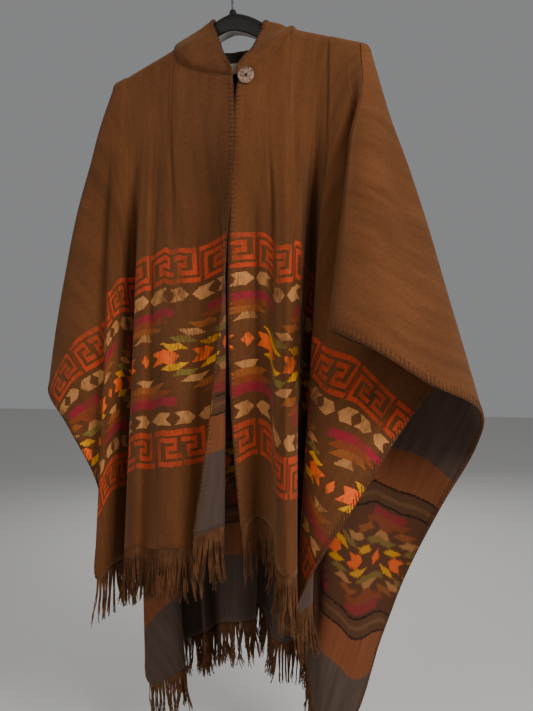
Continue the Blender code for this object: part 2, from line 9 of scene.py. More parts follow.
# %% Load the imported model
import bpy
import numpy as np
from mathutils import Matrix, Vector


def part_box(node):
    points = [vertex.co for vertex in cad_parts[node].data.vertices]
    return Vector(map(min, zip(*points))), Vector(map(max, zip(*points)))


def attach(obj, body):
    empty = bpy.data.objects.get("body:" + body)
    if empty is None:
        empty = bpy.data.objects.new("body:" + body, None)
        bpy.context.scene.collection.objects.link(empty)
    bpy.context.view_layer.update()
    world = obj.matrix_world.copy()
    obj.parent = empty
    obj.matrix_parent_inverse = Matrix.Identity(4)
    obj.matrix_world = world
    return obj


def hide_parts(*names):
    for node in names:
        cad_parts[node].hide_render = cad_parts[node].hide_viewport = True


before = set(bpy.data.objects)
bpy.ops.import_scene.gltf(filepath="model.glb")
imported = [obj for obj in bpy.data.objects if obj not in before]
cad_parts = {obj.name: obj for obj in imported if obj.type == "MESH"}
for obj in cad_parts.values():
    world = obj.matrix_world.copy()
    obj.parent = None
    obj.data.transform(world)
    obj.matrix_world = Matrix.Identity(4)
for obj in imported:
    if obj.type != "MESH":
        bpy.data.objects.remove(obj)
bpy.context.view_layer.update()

# %% [markdown]
# ## Where the camera stands
# The photograph looks as if taken from a little to the wearer's left, level with the chest, by
# a lens of about 38 mm on a full frame.  The camera is placed first, because everything else
# is judged through it.  Its turn, dip and roll come from the two ends of the hanger, whose
# width is not known and is taken as a usual 0.444 m.

# %% Camera
SENSOR = 36.0             # millimetres
PHOTO_TALL = 711.0        # pixels
FOCAL_PX = 750.0
EYE_FAR = 1.25
EYE_TALL = -0.600
EYE_SIDE = 22.9           # degrees
OFF_MIDDLE = 1.89         # degrees between the hanger and the middle of the picture
EYE_ANGLE = np.radians(EYE_SIDE)
EYE = np.array([EYE_FAR * np.sin(EYE_ANGLE), -EYE_FAR * np.cos(EYE_ANGLE), EYE_TALL])
TURN = np.radians(EYE_SIDE - OFF_MIDDLE)
DIP = np.arctan(25.5 / FOCAL_PX)
ROLL = np.radians(1.42)

level_way = np.array([-np.sin(TURN), np.cos(TURN), 0.0])
level_right = np.array([level_way[1], -level_way[0], 0.0])
look_way = level_way * np.cos(DIP) - np.array([0.0, 0.0, np.sin(DIP)])
plain_up = np.cross(level_right, look_way)
right_way = level_right * np.cos(ROLL) - plain_up * np.sin(ROLL)
up_way = plain_up * np.cos(ROLL) + level_right * np.sin(ROLL)

lens = bpy.data.cameras.new("camera")
lens.lens = SENSOR * FOCAL_PX / PHOTO_TALL
lens.sensor_width = SENSOR
lens.clip_start = 0.05
camera = bpy.data.objects.new("camera", lens)
bpy.context.scene.collection.objects.link(camera)
turning = np.stack([right_way, up_way, -look_way], axis=1)
placing = np.eye(4)
placing[:3, :3] = turning
placing[:3, 3] = EYE
camera.matrix_world = Matrix(placing.tolist())
bpy.context.scene.camera = camera
print("camera at", EYE.round(3), "lens", round(lens.lens, 2), "mm")

# %% [markdown]
# ## Sizes and the flat panels
# The back is one panel, the fronts are two half-width panels, and all meet on the shoulder
# line.  The lengths below are those of the flat panels that the fold lines are laid out on.
# The cut is 4 to 6 percent less.

# %% Sizes in metres
HALF_WIDTH = 0.68
FRONT_LENGTH = 0.84
BACK_LENGTH = 1.00
SEAM_GAP = 0.0003
WRIST_TRIM = 0.0002
NECK_HALF = 0.11
NECK_SHIFT = 0.022
FRONT_DIP = 0.085         # depth of the neckline in the flat cloth, at its middle
BACK_DIP = -0.02
HOOD_LEAN = 0.013
BAR_RADIUS = 0.012
BAR_TALL = 0.031
BAR_HALF = 0.222
BAR_TOP = -0.081
TIP = 0.210
CLEAR = 0.0042
HOOK_WIRE = 0.002
HOOK_CENTRE = -0.0185
HOOK_BEND = 0.0205

BAR_DROP = (
    (0.000, 0.000),
    (0.030, 0.009),
    (0.060, 0.027),
    (0.100, 0.045),
    (0.160, 0.067),
    (0.222, 0.090),
)
FRONT_NECK = (
    (0.000, -0.0500, -0.1990),
    (0.030, -0.0415, -0.1925),
    (0.057, -0.0320, -0.1780),
    (0.085, -0.0225, -0.1560),
    (0.100, -0.0178, -0.1400),
    (0.107, -0.0118, -0.1300),
    (0.110, 0.0000, -0.1260),
)
BACK_NECK = (
    (0.000, 0.0350, -0.1400),
    (0.030, 0.0330, -0.1395),
    (0.057, 0.0280, -0.1385),
    (0.085, 0.0210, -0.1370),
    (0.100, 0.0178, -0.1360),
    (0.107, 0.0118, -0.1290),
    (0.110, 0.0000, -0.1260),
)
print("flat panels", HALF_WIDTH, "x", FRONT_LENGTH, "twice and", 2 * HALF_WIDTH, "x", BACK_LENGTH)

# %% [markdown]
# ## The fold lines
# Cloth that hangs from an edge falls in straight lines from that edge: between them it bends,
# along them it hardly does.  So the whole drape can be told as a fan of fold lines.  Each row
# has a name, where the line leaves the hanger, where it ends in the flat cloth, and where that
# end hangs in space.  The lines in front are placed after the photograph.  It does not
# show the back, so the lines there are a guess.

# %% Table of fold lines
# name, top, foot in the cloth (across, down), foot in space (x, y, z)
FOLDS = (
    ("left centre", 0.0070, 0.000, 0.840, 0.035, -0.100, -0.909),
    ("arch", 0.0300, 0.040, 0.840, 0.043, -0.060, -0.895),
    ("arch out", 0.0550, 0.075, 0.840, 0.081, -0.090, -0.904),
    ("tube in", 0.0750, 0.105, 0.840, 0.104, -0.130, -0.951),
    ("tube", 0.0980, 0.135, 0.840, 0.126, -0.150, -0.955),
    ("tube out", 0.1100, 0.165, 0.840, 0.132, -0.130, -0.956),
    ("crease", 0.1350, 0.205, 0.840, 0.110, -0.085, -0.969),
    ("pocket in", 0.1420, 0.290, 0.840, 0.081, 0.000, -1.020),
    ("pocket", 0.1480, 0.370, 0.840, 0.085, 0.065, -1.050),
    ("pocket out", 0.1550, 0.450, 0.840, 0.113, 0.000, -1.042),
    ("wing root", 0.1620, 0.550, 0.840, 0.126, -0.055, -1.029),
    ("left corner", 0.1700, 0.680, 0.840, 0.111, -0.075, -1.038),
    ("wing 1", 0.1770, 0.680, 0.740, 0.148, -0.100, -0.961),
    ("wing 2", 0.1840, 0.680, 0.600, 0.224, -0.095, -0.841),
    ("wing 3", 0.1900, 0.680, 0.480, 0.271, -0.060, -0.759),
    ("wing 4", 0.1950, 0.680, 0.360, 0.322, -0.005, -0.688),
    ("wing turn", 0.1990, 0.680, 0.290, 0.348, -0.012, -0.669),
    ("under 1", 0.2020, 0.680, 0.220, 0.318, -0.055, -0.652),
    ("under 2", 0.2050, 0.680, 0.100, 0.239, -0.115, -0.625),
    ("under 3", 0.2075, 0.680, 0.020, 0.201, -0.130, -0.607),
    ("left wrist", 0.2100, 0.680, 0.000, 0.193, -0.145, -0.601),
    ("flap 0", 0.2100, 0.680, -0.020, 0.212, -0.162, -0.605),
    ("flap 1", 0.2100, 0.680, -0.100, 0.266, -0.172, -0.629),
    ("flap 2", 0.2100, 0.680, -0.210, 0.329, -0.145, -0.674),
    ("flap out", 0.2100, 0.680, -0.330, 0.386, -0.060, -0.717),
    ("back 1", 0.2100, 0.680, -0.420, 0.366, 0.075, -0.797),
    ("back 2", 0.2100, 0.680, -0.580, 0.304, 0.120, -0.905),
    ("back 3", 0.2100, 0.680, -0.730, 0.239, 0.140, -1.033),
    ("back 4", 0.2100, 0.680, -0.860, 0.198, 0.130, -1.140),
    ("back left corner", 0.2040, 0.680, -1.000, 0.142, 0.090, -1.292),
    ("back left hem 1", 0.1960, 0.570, -1.000, 0.095, 0.075, -1.273),
    ("back left hem 2", 0.1870, 0.470, -1.000, 0.069, 0.125, -1.237),
    ("back hem 1", 0.1650, 0.370, -1.000, 0.025, 0.210, -1.207),
    ("back hem 2", 0.1350, 0.270, -1.000, -0.005, 0.140, -1.179),
    ("back hem 3", 0.1100, 0.170, -1.000, -0.055, 0.200, -1.142),
    ("back hem 4", 0.0980, 0.110, -1.000, -0.076, 0.190, -1.128),
    ("back hem 5", 0.0500, 0.050, -1.000, -0.042, 0.130, -1.138),
    ("back hem 6", 0.0000, -0.020, -1.000, -0.059, 0.090, -1.131),
    ("back hem 7", -0.0500, -0.080, -1.000, -0.115, 0.140, -1.158),
    ("back hem 8", -0.0980, -0.170, -1.000, -0.161, 0.200, -1.194),
    ("back hem 9", -0.1100, -0.270, -1.000, -0.147, 0.130, -1.177),
    ("back hem 10", -0.1400, -0.370, -1.000, -0.203, 0.220, -1.223),
    ("back hem 11", -0.1700, -0.490, -1.000, -0.254, 0.210, -1.249),
    ("back hem 12", -0.1900, -0.600, -1.000, -0.189, 0.120, -1.247),
    ("back right corner", -0.2020, -0.680, -1.000, -0.258, 0.105, -1.282),
    ("right back edge 1", -0.2100, -0.680, -0.840, -0.262, 0.115, -1.158),
    ("right back edge 2", -0.2100, -0.680, -0.680, -0.285, 0.130, -1.033),
    ("right back edge 3", -0.2100, -0.680, -0.520, -0.327, 0.140, -0.906),
    ("right back edge 4", -0.2100, -0.680, -0.360, -0.375, 0.140, -0.784),
    ("right back edge 5", -0.2100, -0.680, -0.180, -0.383, 0.115, -0.707),
    ("right wrist", -0.2100, -0.680, 0.000, -0.377, 0.075, -0.672),
    ("right front edge 1", -0.2100, -0.680, 0.170, -0.387, 0.030, -0.681),
    ("right front edge 2", -0.2100, -0.680, 0.340, -0.375, -0.020, -0.701),
    ("right front edge 3", -0.2100, -0.680, 0.460, -0.318, -0.045, -0.759),
    ("right front edge 4", -0.2100, -0.680, 0.600, -0.268, -0.030, -0.872),
    ("right front edge 5", -0.2100, -0.680, 0.720, -0.262, -0.045, -0.942),
    ("right corner", -0.2020, -0.680, 0.840, -0.258, -0.060, -1.025),
    ("right hem corner", -0.1950, -0.580, 0.840, -0.243, -0.035, -1.005),
    ("right pocket out", -0.1870, -0.480, 0.840, -0.235, 0.020, -1.005),
    ("right pocket", -0.1780, -0.370, 0.840, -0.212, 0.045, -1.003),
    ("right pocket in", -0.1690, -0.280, 0.840, -0.207, 0.000, -0.997),
    ("right strip out", -0.1600, -0.230, 0.840, -0.200, -0.060, -0.970),
    ("right strip in", -0.1450, -0.205, 0.840, -0.164, -0.080, -0.953),
    ("right valley", -0.1300, -0.185, 0.840, -0.154, -0.070, -0.957),
    ("right pleat out", -0.1100, -0.155, 0.840, -0.106, -0.105, -0.946),
    ("right pleat in", -0.0980, -0.120, 0.840, -0.063, -0.105, -0.939),
    ("right under", -0.0600, -0.085, 0.840, -0.035, -0.082, -0.932),
    ("right fold", -0.0300, -0.045, 0.840, -0.002, -0.085, -0.907),
    ("right centre", -0.0050, 0.000, 0.840, -0.035, -0.125, -0.914),
)
# how far a line swings out between its ends: sideways, forward
SWINGS = {
    "left centre": (-0.020, 0.000),
    "flap out": (0.004, 0.000),
    "right wrist": (-0.008, 0.000),
    "right front edge 1": (-0.018, 0.000),
    "right front edge 2": (-0.018, 0.000),
    "right front edge 3": (-0.010, 0.000),
    "right fold": (0.008, -0.004),
    "right centre": (0.018, -0.008),
}
print(len(FOLDS), "fold lines")

# %% [markdown]
# ## Smooth curves through given values
# Two small tools serve every surface: a step that starts and ends gently, and a curve that
# passes through given values with a slope taken from their neighbours.

# %% Curve helpers
def smooth_step(value):
    """0 below 0 and 1 above 1, three squares minus two cubes between."""
    value = np.clip(value, 0.0, 1.0)
    return value * value * (3.0 - 2.0 * value)


def column(table, index):
    """One column of a table as an array."""
    return np.array([row[index] for row in table], float)


def hermite(knots, values, at):
    """Cubic through the values; at each knot the slope is that between its neighbours."""
    values = np.asarray(values, float)
    slopes = np.gradient(values, knots, axis=0, edge_order=1)
    left = np.clip(np.searchsorted(knots, at, side="right") - 1, 0, len(knots) - 2)
    span = (knots[left + 1] - knots[left])[:, None]
    part = ((at - knots[left])[:, None]) / span
    return (
        values[left] * (2 * part**3 - 3 * part**2 + 1)
        + slopes[left] * span * (part**3 - 2 * part**2 + part)
        + values[left + 1] * (3 * part**2 - 2 * part**3)
        + slopes[left + 1] * span * (part**3 - part**2)
    )


def bump(value):
    """Soft hill of height 1 at 0, falling to 0 at -1 and 1."""
    return smooth_step(1.0 - np.abs(value))


def unit(ways):
    """Arrows made one metre long."""
    return ways / np.maximum(np.linalg.norm(ways, axis=-1), 1e-9)[..., None]


def walked_along(line):
    """Length from a line's first point to each of its points."""
    return np.concatenate([[0.0], np.cumsum(np.linalg.norm(np.diff(line, axis=0), axis=1))])


def read_line(line, at):
    """Points of a line at places counted in its own points."""
    whole = np.arange(len(line))
    return np.stack([np.interp(at, whole, line[:, i]) for i in range(3)], axis=-1)


def row_place(name):
    """Place of a named fold line, counted in rows."""
    return [row[0] for row in FOLDS].index(name)


print("left wrist is row", row_place("left wrist"))

# %% [markdown]
# ## Where the cloth is held
# The cloth leaves either the neckline seam or the top of the hanger's arm.  The arm's top line
# falls towards its ends, so the same curve serves the hanger and the cloth that lies on it.

# %% Top of the hanger and the neckline
def bar_line(x):
    """Height of the arm's top: its middle height less the drop read from BAR_DROP."""
    knots = column(BAR_DROP, 0)
    drops = column(BAR_DROP, 1)[:, None]
    return BAR_TOP - hermite(knots, drops, np.minimum(np.abs(x), knots[-1]))[:, 0]


def neck_shift(near):
    """Sideways shift of the front neckline, largest at its centre."""
    return NECK_SHIFT * (1.0 - smooth_step(near / 0.10))


def top_line(tops, back):
    """Start of each fold line: on the neckline curve, or beyond it just above the arm."""
    table = BACK_NECK if back else FRONT_NECK
    near = np.minimum(np.abs(tops), NECK_HALF)
    knots = column(table, 0)
    y = np.interp(near, knots, column(table, 1))
    z = np.interp(near, knots, column(table, 2))
    z = np.where(np.abs(tops) > NECK_HALF, bar_line(tops) + CLEAR, z)
    y = np.where(np.abs(y) < SEAM_GAP, SEAM_GAP if back else -SEAM_GAP, y)
    x = tops if back else tops + neck_shift(near)
    return np.stack([x, y, z], axis=-1)


def off_bar(points, extra):
    """Cloth nearer to the arm's middle line than its radius is pushed straight out from it."""
    x = np.clip(points[..., 0], -TIP, TIP)
    middle = bar_line(x.ravel()).reshape(x.shape) - BAR_RADIUS
    away = np.stack([points[..., 0] - x, points[..., 1], points[..., 2] - middle], axis=-1)
    below = np.minimum(away[..., 2] + BAR_TALL - 2 * BAR_RADIUS, 0.0)
    away[..., 2] = np.where(away[..., 2] < 0, below, away[..., 2])
    far = np.maximum(np.linalg.norm(away, axis=-1), 1e-6)
    need = np.maximum(BAR_RADIUS + CLEAR + extra - far, 0.0)
    return points + away / far[..., None] * need[..., None]


print("arm's top at its ends", bar_line(np.array([TIP])).round(4))

# %% [markdown]
# ## The drape
# Each fold line first rolls over the arm in a small arc, leaves it in the direction of the
# fan, and then runs straight to its foot.  Just below the arm the cloth is still smooth, so
# the folds grow in over the first third of the fall.

# %% Drape surface
LARGEST_ARC = 0.0155      # radius of the roll over the arm
LEAST_ARC = 0.0004
EVEN_REACH = 0.11         # how far out the smooth, unfolded cloth would end
FAN_REACH = 0.07          # and how much farther where the lines fan out


def fold_lines(places):
    """Tops, feet in the cloth, feet in space and swings at places along the rows."""
    feet = np.array([row[4:7] for row in FOLDS], float)
    steps = np.linalg.norm(np.diff(feet, axis=0), axis=1)
    knots = np.concatenate([[0.0], np.cumsum(np.sqrt(steps))])
    rows = np.arange(len(FOLDS), dtype=float)
    space = hermite(knots, feet, np.interp(places, rows, knots))
    tops, across, down = (np.interp(places, rows, column(FOLDS, i)) for i in (1, 2, 3))
    swings = [SWINGS.get(row[0], (0.0, 0.0)) for row in FOLDS]
    swing_x, swing_y = (np.interp(places, rows, column(swings, i)) for i in (0, 1))
    return tops, across, down, space, swing_x, swing_y


def leaving(across, down, back):
    """Level way in which each line leaves the arm, from its slant in the cloth: 25 degrees
    and less go straight forward or back, and steeper ones fan towards the wrist."""
    slant = np.degrees(np.arctan2(np.abs(across) - TIP, np.abs(down)))
    share = np.clip((slant - 25.0) / 65.0, 0.0, 1.0)
    wrist = np.where(across > 0, 20.0, 90.0)
    heading = 180.0 - (180.0 - wrist) * share if back else wrist * share
    heading = np.radians(heading)
    return np.stack([np.sign(across) * np.sin(heading), -np.cos(heading)], axis=-1), share


def drape(places, shares, back):
    """Points by place and share: quarter arc over the arm, straight run to an evened foot,
    plus the true foot's offset grown in by a smooth step, plus swing times 4r(1 - r)."""
    tops, across, down, feet, swing_x, swing_y = fold_lines(places)
    start = top_line(tops, back)
    aim, fan = leaving(across, down, back)
    begun = np.minimum(fan * 20, 1.0)
    start[:, :2] += aim * (0.0022 * begun)[:, None]
    start[:, 1] += (0.0008 if back else -0.0008) * begun
    even = feet.copy()
    even[:, :2] = start[:, :2] + aim * (EVEN_REACH + FAN_REACH * fan)[:, None]
    bend = LARGEST_ARC - np.abs(start[:, 1]) * (np.abs(tops) < NECK_HALF)
    bend = np.maximum(bend, LEAST_ARC)
    length = np.linalg.norm(even - start, axis=1)
    walk = shares[None, :] * length[:, None]
    turn = np.minimum(walk / bend[:, None], np.pi / 2)
    points = np.empty((len(places), len(shares), 3))
    points[:, :, :2] = start[:, None, :2] + aim[:, None, :] * (bend[:, None] * np.sin(turn))[:, :, None]
    points[:, :, 2] = start[:, None, 2] - bend[:, None] * (1 - np.cos(turn))
    leave = start.copy()
    leave[:, :2] += aim * bend[:, None]
    leave[:, 2] -= bend
    rest = (walk - bend[:, None] * np.pi / 2) / (length - bend * np.pi / 2)[:, None]
    rest = np.clip(rest, 0.0, 1.0)
    grown = smooth_step((rest - 0.08) / 0.26)[:, :, None]
    foot = even[:, None, :] + (feet - even)[:, None, :] * grown
    points = points + rest[:, :, None] * (foot - leave[:, None, :])
    bow = 4 * rest * (1 - rest)
    points[:, :, 0] += swing_x[:, None] * bow
    points[:, :, 1] += swing_y[:, None] * bow
    return off_bar(points, 0.0)


def flat_place(places, shares, back):
    """The same points in the flat cloth: straight from the top to the foot of each line, so
    that woven bands run true.  Gives metres across, and metres above the hem."""
    tops, across, down = fold_lines(places)[:3]
    near = np.clip(np.abs(tops) / NECK_HALF, 0.0, 1.0)
    dip = (BACK_DIP if back else FRONT_DIP) * (1 - near**1.5)
    length = BACK_LENGTH if back else FRONT_LENGTH
    wide = tops[:, None] + shares[None, :] * (across - tops)[:, None]
    fall = dip[:, None] + shares[None, :] * (np.abs(down) - dip)[:, None]
    return np.stack([wide, length - fall], axis=-1)


def softened(values, reach):
    """Mean of each line and its neighbours up to reach lines away; the ends stay put."""
    before = 2 * values[:1] - values[reach:0:-1]
    after = 2 * values[-1:] - values[-2 : -2 - reach : -1]
    padded = np.concatenate([before, values, after])
    return sum(padded[k : k + len(values)] for k in range(2 * reach + 1)) / (2 * reach + 1)


print("first foot", drape(np.array([0.0]), np.array([1.0]), False)[0, 0].round(3))

# %% [markdown]
# ## Soft creases
# Between the large folds brushed cloth has shallow troughs and ridges, uneven in depth and
# length.  Each row below is one of them, given by its place at the top and at the foot in
# rows from the panel's first fold line, the part of the fall it spans, its depth in steps of
# 1.7 mm (minus for a trough) and its width in rows.  They push the surface along its own
# normal, and fine ridges are added to them.

# %% Creases
CREASE_STEP = 0.0017
RIDGE = 0.0008
CREASES = {
    "front_left": (
        (0.6, 0.8, 0.10, 0.55, 1.6, 0.5),
        (1.7, 1.5, 0.16, 0.80, -2.2, 0.6),
        (2.6, 2.8, 0.08, 0.60, 2.0, 0.5),
        (3.6, 3.4, 0.30, 0.95, 1.8, 0.5),
        (5.5, 5.2, 0.12, 0.70, -2.4, 0.5),
        (7.4, 7.5, 0.30, 0.90, 2.0, 0.6),
        (9.6, 9.4, 0.20, 0.75, -2.0, 0.7),
        (12.2, 12.6, 0.18, 0.62, 2.6, 0.7),
        (13.6, 13.5, 0.34, 0.88, -2.4, 0.8),
        (14.8, 15.1, 0.20, 0.70, 1.8, 0.6),
    ),
    "front_right": (
        (0.7, 1.0, 0.25, 0.80, 1.8, 0.6),
        (2.4, 2.3, 0.16, 0.66, -2.6, 0.7),
        (3.5, 3.7, 0.30, 0.90, 2.4, 0.6),
        (5.3, 5.2, 0.14, 0.60, -2.0, 0.7),
        (8.2, 8.4, 0.30, 0.85, 2.0, 0.6),
        (12.4, 12.6, 0.10, 0.55, 1.8, 0.4),
        (13.4, 13.5, 0.20, 0.78, -1.8, 0.4),
        (14.5, 14.4, 0.10, 0.50, 2.4, 0.5),
        (15.6, 15.5, 0.22, 0.86, -2.0, 0.5),
        (16.4, 16.5, 0.08, 0.52, 2.2, 0.5),
        (17.4, 17.3, 0.14, 0.60, -1.8, 0.4),
    ),
    "back": (
        (3.2, 3.4, 0.20, 0.80, 2.2, 0.7),
        (4.6, 4.5, 0.24, 0.72, -2.4, 0.7),
        (5.6, 5.7, 0.16, 0.60, 2.0, 0.6),
        (7.5, 7.4, 0.30, 0.90, -2.2, 0.6),
        (9.5, 9.6, 0.20, 0.75, 2.6, 0.6),
        (11.4, 11.5, 0.12, 0.66, -2.4, 0.6),
        (13.5, 13.4, 0.16, 0.80, 2.6, 0.6),
        (15.5, 15.6, 0.24, 0.90, -2.4, 0.6),
        (17.5, 17.4, 0.14, 0.70, 2.4, 0.6),
        (19.5, 19.6, 0.20, 0.88, -2.6, 0.6),
        (21.5, 21.4, 0.16, 0.76, 2.4, 0.6),
        (23.5, 23.5, 0.20, 0.92, -2.2, 0.6),
        (26.4, 26.6, 0.22, 0.80, 2.4, 0.7),
        (28.5, 28.4, 0.30, 0.86, -2.4, 0.8),
        (30.5, 30.6, 0.18, 0.70, 2.0, 0.7),
    ),
}


def surface_normals(points):
    """Cross product of the two grid directions, made unit length."""
    normal = np.cross(np.gradient(points, axis=0), np.gradient(points, axis=1))
    return unit(normal)


def creased(points, rows_from_start, shares, table):
    """Adds, for each crease, depth times a hill across it times a hill along its span."""
    depth = np.zeros(points.shape[:2])
    for at_top, at_foot, begin, end, tall, wide in table:
        line = at_top + (at_foot - at_top) * shares[None, :]
        across = bump((rows_from_start[:, None] - line) / wide)
        along = bump((shares[None, :] - (begin + end) / 2) / ((end - begin) / 2))
        depth += tall * CREASE_STEP * across * along
    uneven = np.sin(rows_from_start[:, None] * 2.3 + 5.0 * shares[None, :])
    depth *= 1.0 + 0.25 * uneven
    wander = rows_from_start[:, None] + 0.35 * np.sin(3.1 * shares[None, :] + 0.6 * rows_from_start[:, None])
    ridges = np.sin(wander * 5.3) + 0.7 * np.sin(wander * 8.9 + 2.0) + 0.5 * np.sin(wander * 3.1 + 4.0)
    strength = bump((shares[None, :] - 0.48) / 0.44) * (0.55 + 0.45 * np.sin(wander * 1.7 + 1.0))
    depth += RIDGE * ridges * strength
    return points + surface_normals(points) * depth[..., None]


print(sum(len(rows) for rows in CREASES.values()), "creases")

# %% [markdown]
# ## From points to a mesh
# One function makes an object out of points and faces.  Nearly every surface here is a
# rectangular array of points, so a second one turns such an array into quads, with a UV map in
# metres of flat cloth.

# %% Grid mesh
def mesh_piece(name, points, loops, starts, uv=None):
    """Object from points, face corners, each face's first corner, and one UV a point."""
    mesh = bpy.data.meshes.new(name)
    mesh.vertices.add(points.size // 3)
    mesh.vertices.foreach_set("co", points.reshape(-1).astype(np.float32))
    mesh.loops.add(len(loops))
    mesh.loops.foreach_set("vertex_index", loops.astype(np.int32))
    mesh.polygons.add(len(starts))
    mesh.polygons.foreach_set("loop_start", starts.astype(np.int32))
    mesh.polygons.foreach_set("use_smooth", np.ones(len(starts), dtype=bool))
    mesh.update(calc_edges=True)
    if uv is not None:
        layer = mesh.uv_layers.new(name="cloth")
        layer.data.foreach_set("uv", uv.reshape(-1, 2)[loops].reshape(-1).astype(np.float32))
    made = bpy.data.objects.new(name, mesh)
    bpy.context.scene.collection.objects.link(made)
    return made


def move_points(piece, points):
    """Puts an object's points at new places."""
    piece.data.vertices.foreach_set("co", points.reshape(-1).astype(np.float32))
    piece.data.update()


def wear(piece, *looks):
    """Gives a piece its materials, in order."""
    for look in looks:
        piece.data.materials.append(look)


def grid_piece(name, points, uv=None, close=False, flip=False):
    """Quads between neighbouring points; close joins the last column to the first."""
    rows, cols = points.shape[:2]
    index = np.arange(rows * cols).reshape(rows, cols)
    if close:
        index = np.concatenate([index, index[:, :1]], axis=1)
    quads = np.stack([index[:-1, :-1], index[1:, :-1], index[1:, 1:], index[:-1, 1:]], axis=-1)
    quads = quads.reshape(-1, 4)
    if flip:
        quads = quads[:, ::-1]
    made = mesh_piece(name, points, quads.reshape(-1), np.arange(0, quads.size, 4), uv)
    made.data.validate()
    return made


def wall(piece, thick):
    """Gives a sheet its thickness, the inner side taking the second material."""
    solid = piece.modifiers.new("cloth wall", "SOLIDIFY")
    solid.thickness = thick
    solid.offset = 0.0
    solid.use_even_offset = False
    solid.material_offset = 1
    solid.material_offset_rim = 0
    return piece


# %% [markdown]
# ## Colours and nodes
# Colours are written as the eye picks them, in sRGB hex, and one function turns them into the
# linear numbers that Blender mixes.  One more function adds any node with its settings and
# its inputs, so each material below reads as a list of steps.

# %% Colour and node helpers
def linear(code, alpha=1.0):
    """sRGB hex to linear: the low part over 12.92, the rest to the power 2.4."""
    parts = np.array([int(code[i : i + 2], 16) for i in (1, 3, 5)]) / 255.0
    parts = np.where(parts <= 0.04045, parts / 12.92, ((parts + 0.055) / 1.055) ** 2.4)
    return (*parts.tolist(), alpha)


def add(tree, kind, inputs=(), **settings):
    """Adds a node, sets its properties, then each input from a value or another's socket."""
    made = tree.nodes.new(kind)
    for key, value in settings.items():
        setattr(made, key, value)
    for key, value in dict(inputs).items():
        if isinstance(value, bpy.types.NodeSocket):
            tree.links.new(value, made.inputs[key])
        else:
            made.inputs[key].default_value = value
    return made


def math(tree, operation, *values):
    """One arithmetic step on numbers or sockets; gives its result socket."""
    return add(tree, "ShaderNodeMath", enumerate(values), operation=operation).outputs[0]


def new_look(name):
    """New Principled material, its tree and its shader."""
    look = bpy.data.materials.new(name)
    look.use_nodes = True
    return look, look.node_tree, look.node_tree.nodes["Principled BSDF"]


def tint(tree, share, low, high):
    """Mix of two colours by a share."""
    mix = add(tree, "ShaderNodeMix", {0: share}, data_type="RGBA", clamp_factor=True)
    for slot, colour in ((6, low), (7, high)):
        if isinstance(colour, str):
            mix.inputs[slot].default_value = linear(colour)
        else:
            tree.links.new(colour, mix.inputs[slot])
    return mix.outputs[2]


def flat_xy(tree):
    """Place in the flat cloth from the UV map, then its two parts."""
    uv = add(tree, "ShaderNodeUVMap", uv_map="cloth").outputs[0]
    parts = add(tree, "ShaderNodeSeparateXYZ", {0: uv}).outputs
    return uv, parts[0], parts[1]


def object_noise(tree, scale, detail):
    """Even noise in the object's own metres."""
    where = add(tree, "ShaderNodeTexCoord").outputs["Object"]
    return add(tree, "ShaderNodeTexNoise", {"Vector": where, "Scale": scale, "Detail": detail}).outputs[0]


def raise_bump(tree, shader, strength, distance, height):
    """Height socket to the shader's normal."""
    sizes = {"Strength": strength, "Distance": distance, "Height": height}
    tree.links.new(add(tree, "ShaderNodeBump", sizes).outputs[0], shader.inputs["Normal"])


def set_shader(tree, shader, **values):
    """Principled inputs by name, _ for a space: a number, a hex colour or a socket."""
    for key, value in values.items():
        slot = shader.inputs[key.replace("_", " ")]
        if isinstance(value, bpy.types.NodeSocket):
            tree.links.new(value, slot)
        else:
            slot.default_value = linear(value) if isinstance(value, str) else value


print("brown in linear", [round(c, 4) for c in linear("#5a3820")[:3]])

# %% [markdown]
# ## The woven bands
# The bands are a traditional stepped design: a key border, a chain of fish shapes, and a
# centre of arrows and diamonds with colours stepping out from them to a crimson bar.  On a
# loom each weft row is a list of colour changes, and so it is here: a row is a colour ramp with
# hard stops along the width, and the rows are laid over each other by height above the hem.
# Positions are in millimetres of flat cloth, snapped to groups of threads so that slanted
# edges come out stepped.

# %% Band sizes and colours
MOTIF_START = 176.0       # where the steps of the centre motif first meet
RIGHT_SHIFT = 0.202       # metres by which the pattern lies farther along the right front
BACK_SHIFT = 0.176        # and along the back
TWIST = 0.005             # length of one turn of a twisted yarn
BAND_MIDDLE = 310.0
MOTIF = 150.0
KEY = 86.0
THREAD = 1.6              # real threads are about 0.8 mm; drawn twice as coarse so that they show
KEY_FOOT = 121.0          # from the band's middle
KEY_ROWS = (8.2, 4.5, 8.2, 4.5, 8.2, 4.5, 8.2, 4.5, 8.2)
FISH_MIDDLE = 102.0
PAPER = {
    "brown": "#4f311d",
    "red": "#ab391d",
    "dull red": "#7c2a18",
    "cream": "#ae7442",
    "crimson": "#861c2b",
    "rust": "#7c381c",
    "orange brown": "#8a4a1f",
    "yellow": "#d8920d",
    "olive": "#75632a",
    "orange": "#ee5f20",
}

# Key border, from its upper row down: start, end and colour along one 86 mm repeat.
KEY_CHART = (
    ((0, 37.5, "red"), (43, 86, "red")),
    ((32, 37.5, "red"), (41, 45.5, "dull red")),
    ((0, 24, "red"), (32, 37.5, "red"), (41, 45.5, "dull red"), (48.5, 79, "red")),
    ((19, 24, "red"), (32, 37.5, "red"), (41, 45.5, "dull red"), (48.5, 54, "red"), (74.5, 79, "red")),
    ((7, 24, "red"), (32, 37.5, "red"), (41, 45.5, "dull red"), (48.5, 54, "red"), (62, 79, "red")),
    ((7, 11.5, "red"), (32, 37.5, "red"), (41, 45.5, "dull red"), (48.5, 54, "red"), (62, 67, "red")),
    ((7, 37.5, "red"), (41, 45.5, "dull red"), (48.5, 54, "red"), (62, 86, "red")),
    ((41, 45.5, "dull red"), (48.5, 54, "red")),
    ((1, 43, "red"), (48.5, 86, "red")),
)

